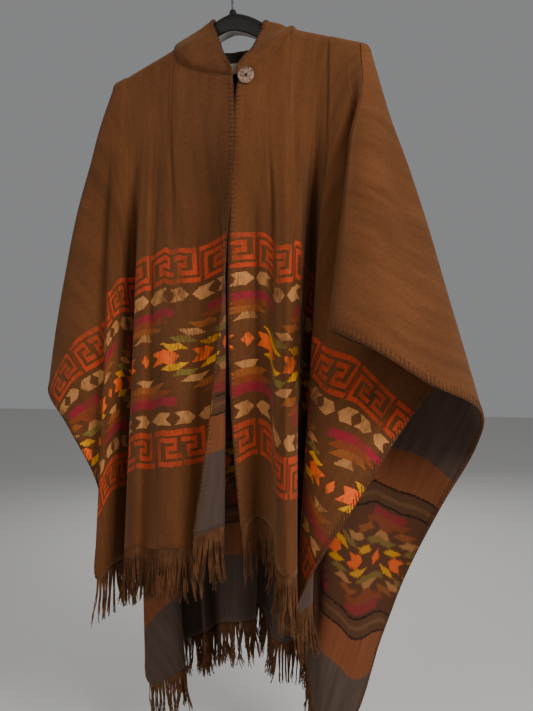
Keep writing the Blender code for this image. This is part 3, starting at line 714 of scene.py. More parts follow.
# Centre, from the middle row out: height where it starts, slant, then colours along 150 mm,
# from the column where the steps meet to the one where the arrows' tails meet.
CENTRE_CHART = (
    (0.0, 0.9, ((33, 57, "orange"), (87, 122, "orange"))),
    (11.5, 1.35, ((14, 40, "yellow"), (72, 104, "yellow"))),
    (22.5, 1.35, ((-20, 22, "olive"), (57, 87, "olive"))),
    (33.0, 1.35, ((41, 71, "cream"),)),
    (44.0, 1.35, ((-20, 6, "rust"), (22, 55, "orange brown"), (112, 150, "orange brown"))),
    (55.0, 1.35, ((-20, 37, "rust"), (101, 150, "rust"))),
    (66.0, 0.0, ((0, 38, "crimson"), (93, 150, "crimson"))),
    (80.0, 0.0, ()),
)
print(len(KEY_CHART) + len(CENTRE_CHART), "charted rows")


# %% [markdown]
# ## From chart to nodes
# A row's colour changes go into one colour ramp with constant steps; between the changes it
# is the ground colour.  The alpha of the ramp says where a figure is, so the ground below can
# stay brushed and uneven.

# %% Chart rows as nodes
def chart_row(tree, along, span, row, low=0.0):
    """Colour and cover of one chart row, looked up by place between low and low + span."""
    share = math(tree, "DIVIDE", math(tree, "SUBTRACT", along, low), span)
    ramp = add(tree, "ShaderNodeValToRGB", {0: share})
    ramp.color_ramp.interpolation = "CONSTANT"
    stops = ramp.color_ramp.elements
    stops.remove(stops[1])
    stops[0].position = 0.0
    stops[0].color = linear(PAPER["brown"], 0.0)
    for start, end, name in row:
        left = min(max((start - low) / span, 0.0), 1.0)
        right = min(max((end - low) / span, 0.0), 1.0)
        if left <= 0.0:
            stops[0].color = linear(PAPER[name], 1.0)
        else:
            one = stops.new(left)
            one.color = linear(PAPER[name], 1.0)
        if right < 0.999:
            one = stops.new(right)
            one.color = linear(PAPER["brown"], 0.0)
    return ramp.outputs["Color"], ramp.outputs["Alpha"]


def laid_over(tree, share, low, high):
    """Colour and cover pair: the second pair where share is 1."""
    colour = add(tree, "ShaderNodeMix", {0: share, 6: low[0], 7: high[0]}, data_type="RGBA")
    cover = add(tree, "ShaderNodeMix", {0: share, 2: low[1], 3: high[1]})
    return colour.outputs[2], cover.outputs[0]


def woven_bands(tree, astray_mm=3.2):
    """Colour and cover of the bands, and distance from the band's middle, from the UV map."""
    uv, wide, high = flat_xy(tree)
    fuzz = add(tree, "ShaderNodeTexNoise", {"Vector": uv, "Scale": 520.0, "Detail": 2.0}).outputs[1]
    hairs = add(tree, "ShaderNodeSeparateXYZ", {0: fuzz})
    astray = math(tree, "MULTIPLY_ADD", hairs.outputs[0], astray_mm, -astray_mm / 2)
    across = math(tree, "SNAP", math(tree, "MULTIPLY_ADD", wide, 1000.0, astray), THREAD)
    astray = math(tree, "MULTIPLY_ADD", hairs.outputs[1], astray_mm, -astray_mm / 2)
    tall = math(tree, "SNAP", math(tree, "MULTIPLY_ADD", high, 1000.0, astray), THREAD)
    signed = math(tree, "SUBTRACT", tall, BAND_MIDDLE)
    out = math(tree, "ABSOLUTE", signed)
    # folded along the width: 0 where the steps meet, 150 where the tails meet
    turned = math(tree, "PINGPONG", math(tree, "SUBTRACT", across, MOTIF_START), MOTIF)
    result = None
    for start, slant, row in CENTRE_CHART:
        lean = math(tree, "MULTIPLY", math(tree, "SUBTRACT", out, start), slant)
        shifted = math(tree, "SUBTRACT", turned, lean)
        here = chart_row(tree, shifted, 170.0, row, -20.0)
        if result is None:
            result = here
        else:
            result = laid_over(tree, math(tree, "GREATER_THAN", out, start), result, here)
    # small diamonds in both columns and the cream steps above and below them
    edge = math(tree, "MINIMUM", turned, math(tree, "SUBTRACT", MOTIF, turned))
    slope = math(tree, "ADD", math(tree, "DIVIDE", edge, 9.0), math(tree, "DIVIDE", out, 12.0))
    diamond = math(tree, "LESS_THAN", slope, 1.0)
    foot, head = CENTRE_CHART[3][0], CENTRE_CHART[4][0]
    cut = math(tree, "SUBTRACT", 19.0, math(tree, "SUBTRACT", out, foot))
    step = math(tree, "LESS_THAN", edge, cut)
    step = math(tree, "MULTIPLY", step, math(tree, "GREATER_THAN", out, foot))
    step = math(tree, "MULTIPLY", step, math(tree, "LESS_THAN", out, head))
    result = mark(tree, result, diamond, "orange")
    result = mark(tree, result, step, "cream")
    # the chain of fish, tip to tip and tail to tail every 75 mm
    place = math(tree, "PINGPONG", across, MOTIF / 4)
    fish_out = math(tree, "ABSOLUTE", math(tree, "SUBTRACT", out, FISH_MIDDLE))
    tip = math(tree, "MULTIPLY", math(tree, "SUBTRACT", 35.2, place), 0.95)
    body = math(tree, "LESS_THAN", fish_out, math(tree, "MINIMUM", tip, 11.0))
    notch = math(tree, "ADD", math(tree, "MULTIPLY", fish_out, -0.85), 11.4)
    body = math(tree, "MULTIPLY", body, math(tree, "GREATER_THAN", place, notch))
    body = math(tree, "MULTIPLY", body, math(tree, "GREATER_THAN", place, 2.4))
    result = mark(tree, result, body, "cream")
    # the two key borders, both drawn the same way up
    half = sum(KEY_ROWS) / 2
    low = math(tree, "MULTIPLY", math(tree, "SIGN", signed), KEY_FOOT + half)
    height = math(tree, "SUBTRACT", half, math(tree, "SUBTRACT", signed, low))
    repeat = math(tree, "FLOORED_MODULO", across, KEY)
    key = chart_row(tree, repeat, KEY, KEY_CHART[0])
    depth = 0.0
    for tall_mm, row in zip(KEY_ROWS[:-1], KEY_CHART[1:]):
        depth += tall_mm
        lower = chart_row(tree, repeat, KEY, row)
        key = laid_over(tree, math(tree, "GREATER_THAN", height, depth), key, lower)
    inside = math(tree, "COMPARE", out, KEY_FOOT + half, half)
    result = laid_over(tree, inside, result, key)
    return result[0], result[1], out


def mark(tree, pair, share, name):
    """Paints one named colour over a pair where share is 1."""
    colour = tint(tree, share, pair[0], PAPER[name])
    return colour, math(tree, "MAXIMUM", pair[1], share)


print("bands drawn on", THREAD, "mm threads")

# %% [markdown]
# ## Brushed blanket cloth, outer side
# Acrylic and wool blanket cloth is woven, then brushed, so a short nap covers the threads.  It
# has no gloss, a faint pale sheen at grazing angles and long uneven streaks down the piece.
# The streaks are noise drawn out along the cloth: partly nap that lies over unevenly, partly
# painted highlight where the ridges of the folds catch the light.  The bump is a rib of weft threads under
# finer fuzz.

# %% Outer cloth
def nap(tree, across_scale, along_scale, detail, seed):
    """Noise stretched by two scales per metre of flat cloth."""
    uv = add(tree, "ShaderNodeUVMap", uv_map="cloth").outputs[0]
    place = add(tree, "ShaderNodeMapping", {0: uv, 1: (seed, seed, 0.0), 3: (across_scale, along_scale, 1.0)})
    noise = add(tree, "ShaderNodeTexNoise", {"Vector": place.outputs[0], "Scale": 1.0, "Detail": detail})
    return noise.outputs[0]


def cloth_bump(tree, shader, fuzz, strength):
    """Weft ribs about 1.6 mm apart, roughened by the fuzz, as bump."""
    rib = math(tree, "SINE", math(tree, "MULTIPLY", flat_xy(tree)[2], 2 * np.pi * 1000.0 / THREAD))
    raise_bump(tree, shader, strength, 0.0012, math(tree, "MULTIPLY_ADD", rib, 0.10, fuzz))


def outer_cloth(name, with_bands):
    """Brown brushed ground, with the woven bands where they cover it."""
    look, tree, shader = new_look(name)
    # painted highlight: these paler streaks stand partly for light on the ridges of the folds and partly for
    # uneven nap
    streaks = nap(tree, 70.0, 9.0, 5.0, 3.1)
    broad = nap(tree, 9.0, 3.5, 2.0, 11.7)
    fuzz = nap(tree, 900.0, 500.0, 3.0, 0.0)
    share = math(tree, "MULTIPLY_ADD", streaks, 0.75, math(tree, "MULTIPLY_ADD", broad, 0.75, -0.30))
    # the paler of these two browns carries the painted highlight of the streaks
    ground = tint(tree, share, "#44240f", "#6e4224")
    if with_bands:
        colour, cover, _ = woven_bands(tree)
        threads = math(tree, "MULTIPLY_ADD", nap(tree, 420.0, 60.0, 2.0, 5.3), 2.0, -1.62)
        threads = math(tree, "MULTIPLY_ADD", nap(tree, 26.0, 13.0, 2.0, 8.1), 2.4, threads)
        worn = math(tree, "MULTIPLY", cover, math(tree, "MULTIPLY_ADD", fuzz, 0.4, threads))
        ground = tint(tree, worn, ground, colour)
    mottle = nap(tree, 240.0, 150.0, 3.0, 2.2)
    speckle = math(tree, "MULTIPLY_ADD", fuzz, 0.5, math(tree, "MULTIPLY_ADD", mottle, 0.55, 0.465))
    shaded = add(tree, "ShaderNodeMix", {0: 1.0, 6: ground}, data_type="RGBA", blend_type="MULTIPLY")
    grey = add(tree, "ShaderNodeCombineColor", {0: speckle, 1: speckle, 2: speckle})
    tree.links.new(grey.outputs[0], shaded.inputs[7])
    set_shader(tree, shader, Base_Color=shaded.outputs[2], Roughness=0.95, Specular_IOR_Level=0.15,
               Sheen_Weight=0.25, Sheen_Roughness=0.5, Sheen_Tint="#c9a27a")
    cloth_bump(tree, shader, fuzz, 0.35)
    return look


banded_cloth = outer_cloth("brushed blanket cloth with woven bands", True)
plain_cloth = outer_cloth("brushed plain blanket cloth", False)
print(len(banded_cloth.node_tree.nodes), "nodes in the banded cloth")

# %% [markdown]
# ## The inner side
# The cloth is a double weave: where brown shows outside, charcoal yarn shows inside, and
# behind the red key border the inside is a rust stripe.  Two dark lines run along the chain
# of fish, and the centre shows through blurred and darker.

# %% Inner cloth
def inner_cloth(name, with_bands):
    """Charcoal ground; rust, brown, dark lines and a dim centre by height above the hem."""
    look, tree, shader = new_look(name)
    streaks = nap(tree, 95.0, 7.0, 4.0, 23.1)
    fuzz = nap(tree, 900.0, 500.0, 3.0, 7.0)
    ground = tint(tree, math(tree, "MULTIPLY_ADD", streaks, 1.4, -0.2), "#3a2d26", "#55443b")
    if with_bands:
        colour, cover, out = woven_bands(tree, 12.0)
        rust = tint(tree, streaks, "#5a311d", "#7c4629")
        for reach, stripe in ((180.0, rust), (119.0, "#1d120e"), (116.0, "#4c301e")):
            ground = tint(tree, math(tree, "LESS_THAN", out, reach), ground, stripe)
        ground = tint(tree, math(tree, "COMPARE", out, 101.0, 3.0), ground, "#5b3d26")
        for reach, stripe in ((88.0, "#1d120e"), (85.0, "#4b2c1b")):
            ground = tint(tree, math(tree, "LESS_THAN", out, reach), ground, stripe)
        inside = math(tree, "MULTIPLY", cover, math(tree, "LESS_THAN", out, 84.0))
        ground = tint(tree, math(tree, "MULTIPLY", inside, 0.5), ground, colour)
    set_shader(tree, shader, Base_Color=ground, Roughness=0.95, Specular_IOR_Level=0.15,
               Sheen_Weight=0.2, Sheen_Tint="#a08a78")
    cloth_bump(tree, shader, fuzz, 0.3)
    return look


banded_inside = inner_cloth("blanket cloth inner face with stripes", True)
plain_inside = inner_cloth("blanket cloth inner face", False)
print("inner faces ready")

# %% [markdown]
# ## Yarn
# The edge stitches and the fringe are the same soft brown yarn, twisted from two plies.  Each
# strand carries a UV map that runs round it and along it in metres, so the twist can be drawn
# as slanted stripes.

# %% Yarn
def yarn(name, dark, pale):
    """Two-ply twist: stripes slanted along the strand, over uneven dye."""
    look, tree, shader = new_look(name)
    _, around, along = flat_xy(tree)
    slant = math(tree, "MULTIPLY_ADD", along, 2 * np.pi / TWIST, around)
    twist = math(tree, "MULTIPLY_ADD", math(tree, "SINE", slant), 0.5, 0.5)
    dye = object_noise(tree, 60.0, 2.0)
    share = math(tree, "MULTIPLY_ADD", dye, 1.5, math(tree, "MULTIPLY_ADD", twist, 0.2, -0.4))
    raise_bump(tree, shader, 0.5, 0.0006, twist)
    set_shader(tree, shader, Base_Color=tint(tree, share, dark, pale), Roughness=0.9,
               Specular_IOR_Level=0.2, Sheen_Weight=0.3, Sheen_Tint="#c9a27a")
    return look


fringe_yarn = yarn("brown fringe yarn", "#341b0d", "#6f4526")
stitch_yarn = yarn("brown stitching yarn", "#2f190b", "#5e3820")
print("yarns ready")

# %% [markdown]
# ## The three panels
# The panels are the drape on a fine grid, with the soft creases added, so they lie on the
# solids of the frame and look like cloth.  Where a front meets the back at the wrist, its last
# line is drawn back by a hair, as the solids are.

# %% Panels
FRONT_FINE = 8            # grid lines from one fold line to the next
BACK_FINE = 6
PANEL_WALL = 0.0022
NEAR_TOP = 0.05           # share of the fall that the finer grid under the arm takes
PANEL_SHARES = np.concatenate([
    np.linspace(0.0, NEAR_TOP, 14)[:-1], NEAR_TOP + 0.95 * np.linspace(0.0, 1.0, 78)
])
WING_DROP = 0.055         # how far the bands sink on the wing, then on its outer part, metres
WING_MORE = 0.030
FOOT_DROP = 0.022         # and near the hem of the rest of the left front
# how far they sink near the back's left corner: fold line's place, metres
BACK_DROP = (
    (24.0, 0.000), (26.0, 0.010), (27.0, 0.030), (28.1, 0.056), (28.8, 0.024), (30.0, 0.030), (32.0, 0.000),
)


def draw_back(points, edge, inner):
    """Moves one edge line towards its neighbour, by WRIST_TRIM at most."""
    pull = points[inner] - points[edge]
    far = np.maximum(np.linalg.norm(pull, axis=1), 1e-9)[:, None]
    grown = WRIST_TRIM * np.clip((PANEL_SHARES * 13.5 - 3) / 3.0, 0.0, 1.0)[:, None]
    points[edge] += pull / far * np.minimum(np.maximum(np.minimum(WRIST_TRIM, far * 0.6), grown), far * 0.8)
    return points


def panel(name, first, last, back, fine, shift, trims):
    """One panel: drape, creases and flat coordinates; keeps its points for the edges."""
    lo = row_place(first)
    hi = row_place(last)
    places = np.linspace(lo, hi, (hi - lo) * fine + 1)
    points = drape(places, PANEL_SHARES, back)
    points = creased(points, places - lo, PANEL_SHARES, CREASES[name])
    for edge, inner in trims:
        points = draw_back(points, edge, inner)
    uv = softened(flat_place(places, PANEL_SHARES, back), fine * 3 // 4) + np.array([shift, 0.0])
    if name == "front_left":
        on_wing = smooth_step((places - 8.5) / 2.0)[:, None]
        hemmed = 1.0 - smooth_step((places - 11.0) / 1.5)[:, None]
        moved = WING_DROP * on_wing + WING_MORE * smooth_step((places - 9.0) / 2.0)[:, None]
        uv[:, :, 1] += moved * (1.0 - hemmed * PANEL_SHARES[None, :] ** 4)
        foot = smooth_step((PANEL_SHARES - 0.55) / 0.3)[None, :]
        uv[:, :, 1] += FOOT_DROP * (1.0 - on_wing) * foot
    if back:
        drop = softened(np.interp(places, column(BACK_DROP, 0), column(BACK_DROP, 1)), fine // 2)
        uv[:, :, 1] += drop[:, None] * smooth_step(PANEL_SHARES / 0.6)[None, :]
    made = grid_piece(name + "_cloth", points, uv, flip=True)
    wear(made, banded_cloth, banded_inside)
    wall(made, PANEL_WALL)
    step_u = np.linalg.norm(np.diff(points, axis=0), axis=2)
    step_v = np.linalg.norm(np.diff(points, axis=1), axis=2)
    area = (0.5 * (step_u[:, 1:] + step_u[:, :-1]) * 0.5 * (step_v[1:] + step_v[:-1])).sum()
    print(name, points.shape[:2], "area about", round(float(area), 3), "square metres")
    return made, points


front_left, left_points = panel(
    "front_left", "left centre", "left wrist", False, FRONT_FINE, 0.0, [(-1, -2)]
)
front_right, right_points = panel(
    "front_right", "right wrist", "right centre", False, FRONT_FINE, RIGHT_SHIFT, [(0, 1)]
)
back, back_points = panel(
    "back", "left wrist", "right wrist", True, BACK_FINE, BACK_SHIFT, [(0, 1), (-1, -2)]
)

# %% [markdown]
# ## The hood
# The hood is two halves, joined by a seam from the neck over the crown, and it lies thrown
# back: its front edge stands round the neck and the crown hangs behind as a pouch.  The
# sections below run from the front of the neckline over the shoulder to the middle of the
# back, and a smooth surface is passed through them.

# %% Hood sections
HOOD_UP = (0.0, 0.10, 0.30, 0.58, 0.80, 1.0)
HOOD = (
    (0.00, (0.0030, -0.0510, -0.1965), (0.0034, -0.0520, -0.1945), (0.0038, -0.0530, -0.1925),
     (0.0043, -0.0535, -0.1905), (0.0047, -0.0540, -0.1885), (0.0050, -0.0545, -0.1870)),
    (0.18, (0.0500, -0.0345, -0.1805), (0.0510, -0.0375, -0.1740), (0.0475, -0.0390, -0.1660),
     (0.0410, -0.0380, -0.1570), (0.0350, -0.0360, -0.1510), (0.0300, -0.0345, -0.1470)),
    (0.32, (0.0890, -0.0220, -0.1500), (0.0900, -0.0260, -0.1425), (0.0840, -0.0270, -0.1320),
     (0.0680, -0.0245, -0.1205), (0.0540, -0.0210, -0.1120), (0.0440, -0.0180, -0.1070)),
    (0.43, (0.1075, 0.0000, -0.1245), (0.1065, 0.0000, -0.1170), (0.0960, 0.0000, -0.1080),
     (0.0770, 0.0020, -0.1010), (0.0600, 0.0040, -0.0950), (0.0475, 0.0060, -0.0880)),
    (0.55, (0.0880, 0.0200, -0.1350), (0.0893, 0.0250, -0.1275), (0.0910, 0.0350, -0.1245),
     (0.0900, 0.0500, -0.1330), (0.0760, 0.0560, -0.1230), (0.0580, 0.0450, -0.1010)),
    (0.70, (0.0540, 0.0280, -0.1370), (0.0560, 0.0350, -0.1270), (0.0630, 0.0520, -0.1360),
     (0.0700, 0.0730, -0.1900), (0.0660, 0.0960, -0.1950), (0.0600, 0.0900, -0.1420)),
    (0.85, (0.0260, 0.0330, -0.1380), (0.0270, 0.0420, -0.1270), (0.0330, 0.0620, -0.1600),
     (0.0370, 0.0800, -0.2620), (0.0340, 0.1080, -0.2640), (0.0300, 0.1130, -0.1900)),
    (1.00, (0.0012, 0.0345, -0.1385), (0.0012, 0.0440, -0.1270), (0.0012, 0.0660, -0.1720),
     (0.0012, 0.0860, -0.3300), (0.0012, 0.1160, -0.3160), (0.0012, 0.1230, -0.2130)),
)


def hood_surface(side, along, up):
    """Hermite through the sections, then through each section's points; mirrored by side."""
    sections = np.array([row[1:] for row in HOOD], float)
    mirrored = sections[-2] * np.array([-1.0, 1.0, 1.0])
    sections = np.concatenate([sections, mirrored[None]])
    knots = np.concatenate([column(HOOD, 0), [2.0 - HOOD[-2][0]]])
    stations = hermite(knots, sections.reshape(len(knots), -1), along)
    stations = stations.reshape(len(along), len(HOOD_UP), 3).transpose(1, 0, 2)
    points = hermite(np.array(HOOD_UP), stations.reshape(len(HOOD_UP), -1), up)
    points = points.reshape(len(up), len(along), 3).transpose(1, 0, 2)
    points[:, :, 2] += 0.0008 * np.exp(-up / 0.1)[None, :]
    seam_x = points[:, :1, 0].copy()
    points[:, :, 0] *= side
    upper = smooth_step(up / 0.8)[None, :]
    over_neck = smooth_step((0.85 - along) / 0.35)[:, None]
    front = np.where(along < 0.45, 1.0, 0.0)[:, None]
    if side > 0:
        more = 0.0085 * (1.0 - smooth_step(along / 0.15))[:, None]
    else:
        more = 0.0100 * (1.0 - smooth_step((along - 0.2) / 0.23))[:, None]
    points[:, :, 0] += neck_shift(seam_x) * front * (1.0 - upper)
    points[:, :, 0] += (HOOD_LEAN + more) * upper * over_neck
    if side > 0:
        low = smooth_step(up / 0.6)[None, :] * over_neck * smooth_step(along / 0.3)[:, None]
        points[:, :, 2] -= 0.016 * low
        beside = bump((along - 0.43) / 0.12)[:, None] * bump((up - 0.12) / 0.15)[None, :]
        points[:, :, 2] -= 0.0055 * beside
    return off_bar(points, 0.0010)


print(len(HOOD), "hood sections")

# %% [markdown]
# Each half is that surface on a fine grid.  A few soft wrinkles are added along its normal and
# fade out towards the seams.

# %% Hood halves
HOOD_WALL = 0.0020
WRINKLE = 0.0013


def hood_half(name, side):
    """Fine grid of the hood surface with a few soft wrinkles along its normal."""
    along = np.linspace(0.0, 1.0, 97)
    up = np.linspace(0.0, 1.0, 61)
    points = hood_surface(side, along, up)
    wrinkle = WRINKLE * np.sin(along * 31.0 + 1.3 * side)[:, None]
    wrinkle = wrinkle * np.sin(up * 9.0 + 4.0 * along[:, None])
    fade = smooth_step(up / 0.2)[None, :] * smooth_step((1 - up) / 0.1)[None, :]
    fade = fade * smooth_step((1 - along) / 0.1)[:, None] * smooth_step((along - 0.12) / 0.2)[:, None]
    points = points + surface_normals(points) * (wrinkle * fade)[..., None]
    uv = np.stack(np.meshgrid(along * 0.34, up * 0.26, indexing="ij"), axis=-1)
    if side < 0:
        points = points[::-1]
        uv = uv[::-1]
    made = grid_piece(name + "_cloth", points, uv)
    wear(made, plain_cloth, plain_inside)
    return wall(made, HOOD_WALL), points


hood_left, hood_left_points = hood_half("hood_left", 1.0)
hood_right, hood_right_points = hood_half("hood_right", -1.0)
print("hood halves", hood_left_points.shape)

# %% [markdown]
# ## Strands
# Stitches and fringe are all thin round strands.  A strand is a small ring carried along a
# path; all strands of a piece are worked out together as one array with four directions:
# strand, step along it, place round it, and x, y, z.

# %% Strand maker
GOLDEN = 0.618            # spreads the twists of neighbouring strands evenly


def strands(name, paths, radius, look, sides=5):
    """Rings of given radius across each path; the ring's frame comes from the path's own
    direction and a fixed helper direction."""
    ways = unit(np.gradient(paths, axis=1))
    helper = np.array([0.31, 0.87, 0.38])
    first = unit(np.cross(ways, helper))
    second = np.cross(ways, first)
    turn = np.linspace(0.0, 2 * np.pi, sides, endpoint=False)
    radius = np.broadcast_to(radius, paths.shape[:2])
    ring = first[:, :, None] * np.cos(turn)[None, None, :, None]
    ring = ring + second[:, :, None] * np.sin(turn)[None, None, :, None]
    points = paths[:, :, None] + ring * radius[:, :, None, None]
    count, steps = paths.shape[:2]
    index = np.arange(count * steps * sides).reshape(count, steps, sides)
    wrapped = np.concatenate([index, index[:, :, :1]], axis=2)
    quads = np.stack(
        [wrapped[:, :-1, :-1], wrapped[:, :-1, 1:], wrapped[:, 1:, 1:], wrapped[:, 1:, :-1]], axis=-1
    )
    sidewalls = quads.reshape(-1, 4)
    caps = np.concatenate([index[:, 0, ::-1], index[:, -1, :]], axis=0)
    loops = np.concatenate([sidewalls.reshape(-1), caps.reshape(-1)])
    starts = np.concatenate([
        np.arange(len(sidewalls)) * 4, len(sidewalls) * 4 + np.arange(len(caps)) * sides
    ])
    walked = np.concatenate([
        np.zeros((count, 1)), np.cumsum(np.linalg.norm(np.diff(paths, axis=1), axis=2), axis=1)
    ], axis=1)
    around = np.broadcast_to(turn[None, None, :], (count, steps, sides))
    phase = (np.arange(count) * GOLDEN % 1.0 * TWIST)[:, None, None]
    along = np.broadcast_to(walked[:, :, None] + phase, (count, steps, sides))
    made = mesh_piece(name, points, loops, starts, np.stack([around, along], axis=-1))
    wear(made, look)
    print(name, count, "strands,", len(starts), "faces")
    return made


# %% [markdown]
# ## Blanket stitch
# The cut edges are bound with blanket stitch in thick yarn: a tooth goes in from the edge on
# both faces every 6 to 7 mm, and a purl runs along the edge from tooth to tooth.  Teeth are
# shorter on the centre edges and shortest on the hood.  They follow the cloth, so their places
# are read from the panel's own points.

# %% Edge stitches
STITCH = 0.0072
TOOTH = 0.0115
CENTRE_TOOTH = 0.0085
HOOD_STITCH = 0.0060
HOOD_TOOTH = 0.0055
YARN = 0.0007             # radius


def along_edge(sheet, lo, hi, pitch):
    """Places along the sheet's first row, evenly spaced by length, from lo to hi of it."""
    walked = walked_along(sheet[0])
    count = int(walked[-1] * (hi - lo) / pitch)
    want = np.linspace(lo, hi, count) * walked[-1]
    return np.interp(want, walked, np.arange(len(walked)))


def read_grid(sheet, rows, cols):
    """Points between grid points, blended from the four round them."""
    r = np.clip(rows, 0, sheet.shape[0] - 1.001)
    c = np.clip(cols, 0, sheet.shape[1] - 1.001)
    i, j = r.astype(int), c.astype(int)
    a, b = (r - i)[..., None], (c - j)[..., None]
    low = sheet[i, j] * (1 - a) + sheet[i + 1, j] * a
    high = sheet[i, j + 1] * (1 - a) + sheet[i + 1, j + 1] * a
    return low * (1 - b) + high * b


def inward(sheet, cols, distance):
    """Row place that lies a distance inside the edge, at each column place."""
    steps = np.linalg.norm(np.diff(sheet[:40], axis=0), axis=2)
    wide = np.concatenate([np.zeros((1, sheet.shape[1])), np.cumsum(steps, axis=0)])
    near = wide[:, np.round(cols).astype(int)]
    hit = np.argmax(near > distance, axis=0)
    hit = np.where(near[-1] > distance, hit, len(near) - 1)
    before = near[hit - 1, np.arange(len(cols))]
    after = near[hit, np.arange(len(cols))]
    return hit - 1 + np.clip((distance - before) / np.maximum(after - before, 1e-9), 0.0, 1.0)


def edge_stitches(name, sheet, lo, hi, seed, pitch, tooth, half=0.0011):
    """Teeth over the edge and the purl between them, for the sheet's first row."""
    rng = np.random.default_rng(seed)
    normal = surface_normals(sheet)
    cols = along_edge(sheet, lo, hi, pitch)
    count = len(cols)
    jitter = rng.uniform(-0.25, 0.25, count)
    lengths = tooth * rng.uniform(0.86, 1.08, count)
    # up one face, round the edge, down the other
    spots = ((1.0, 0.0), (1.0, 0.75), (0.72, 1.0), (0.4, 1.0), (0.1, 1.0), (-0.06, 0.7), (-0.1, 0.0))
    spots = spots + tuple((along, -out) for along, out in spots[-2::-1])
    steps = np.linalg.norm(sheet[0, 1:] - sheet[0, :-1], axis=1)
    per_col = np.interp(cols, np.arange(len(steps)) + 0.5, steps)
    path = np.empty((count, len(spots), 3))
    edge = read_grid(sheet, np.zeros(count), cols)
    inner = read_grid(sheet, inward(sheet, cols, 0.004), cols)
    way = unit(inner - edge)
    for k, (share, out) in enumerate(spots):
        lean = cols + jitter * 0.0035 / np.maximum(per_col, 1e-5) * max(share, 0.0)
        lean = np.clip(lean, 0, sheet.shape[1] - 1.001)
        rows = inward(sheet, lean, np.maximum(lengths * share, 0.0))
        on_cloth = read_grid(sheet, rows, lean)
        lift = read_grid(normal, rows, lean) * (half + YARN * 0.35) * out
        past = way * np.minimum(lengths * share, 0.0)[:, None]
        path[:, k] = on_cloth + lift + past
    teeth = strands(name, path, YARN, stitch_yarn)
    return teeth, edge - way * 0.0014


def join(first, second):
    """One mesh out of two, kept under the first one's name."""
    with bpy.context.temp_override(active_object=first, selected_editable_objects=[first, second]):
        bpy.ops.object.join()
    return first


def bound_edge(name, sheet, lo, hi, seed, pitch=STITCH, tooth=TOOTH):
    """Blanket stitch with its purl: one wavy strand just outside the edge."""
    teeth, purl = edge_stitches(name, sheet, lo, hi, seed, pitch, tooth)
    fine = np.linspace(0, len(purl) - 1, len(purl) * 3)
    path = read_line(purl, fine)
    return join(teeth, strands(name + "_purl", path[None], YARN * 1.1, stitch_yarn))


def side_rows(points, first_row, last_row, fine):
    """The panel turned so that its side edge, at the foot of the lines, comes first."""
    return points[first_row * fine : last_row * fine + 1].transpose(1, 0, 2)[::-1]


left_wrist = row_place("left wrist")
right_wrist = row_place("right wrist")
left_corner = row_place("left corner")
right_corner = row_place("right corner") - right_wrist
left_side = side_rows(left_points, left_corner, left_wrist, FRONT_FINE)
right_side = side_rows(right_points, 0, right_corner, FRONT_FINE)
left_end = row_place("back left corner") - left_wrist
right_start = row_place("back right corner") - left_wrist
back_left = side_rows(back_points, 0, left_end, BACK_FINE)
back_right = side_rows(back_points, right_start, right_wrist - left_wrist, BACK_FINE)
left_brim = hood_left_points.transpose(1, 0, 2)[::-1]
right_brim = hood_right_points.transpose(1, 0, 2)[::-1]
stitches = [
    bound_edge("front_left_centre_stitch", left_points, 0.02, 0.995, 1, STITCH, CENTRE_TOOTH),
    bound_edge("front_left_side_stitch", left_side, 0.01, 0.985, 2),
    bound_edge("front_right_centre_stitch", right_points[::-1], 0.02, 0.995, 3, STITCH, CENTRE_TOOTH),
    bound_edge("front_right_side_stitch", right_side, 0.015, 0.99, 4),
    bound_edge("back_left_side_stitch", back_left, 0.015, 0.99, 5),
    bound_edge("back_right_side_stitch", back_right, 0.01, 0.985, 6),
    bound_edge("hood_left_stitch", left_brim, 0.01, 0.995, 7, HOOD_STITCH, HOOD_TOOTH),
    bound_edge("hood_right_stitch", right_brim, 0.005, 0.99, 8, HOOD_STITCH, HOOD_TOOTH),
]
print(len(stitches), "stitched edges")

# %% [markdown]
# ## Neck seam
# Hood and panels are sewn together inside, so outside the joint shows only as a soft roll of
# cloth that covers the line between them.

# %% Neck roll
def seam_roll(name, hood):
    """Roll of cloth midway between the hood's foot and the nearest panel edge, as thick as
    the two are apart."""
    edges = []
    for sheet in (left_points, right_points, back_points):
        edges.append(read_line(sheet[:, 0], np.linspace(0, len(sheet) - 1, len(sheet) * 8)))
    edges = np.concatenate(edges)
    apart = np.linalg.norm(hood[:, None] - edges[None], axis=2)
    near = edges[np.argmin(apart, axis=1)]
    path = softened(hood * 0.4 + near * 0.6, 2)
    start = np.linspace(0.0, 1.0, len(hood))
    most = 0.0013 + 0.0009 * smooth_step((start - 0.06) / 0.08)
    radius = np.minimum(np.min(apart, axis=1) / 2 + 0.0007, most)
    return strands(name, path[None], radius[None], plain_cloth, sides=10)


neck_rolls = [
    seam_roll("neck_roll_left", hood_left_points[:, 0]),
    seam_roll("neck_roll_right", hood_right_points[::-1, 0]),
]

# %% [markdown]
# ## Fringe
# The warp threads are left long at both hems and hang as loose twisted locks.  Each yarn
# leaves the hem in line with the cloth, bends down under its weight and curls a little; yarns
# beside each other gather into locks, so their tips meet.

# %% Fringe yarns
FRINGE_LONG = 0.085
LOCK = 0.0085             # width of the hem whose yarns gather into one lock
YARN_PITCH = 0.0011
YARN_RADIUS = 0.0010
CURL = 0.0022


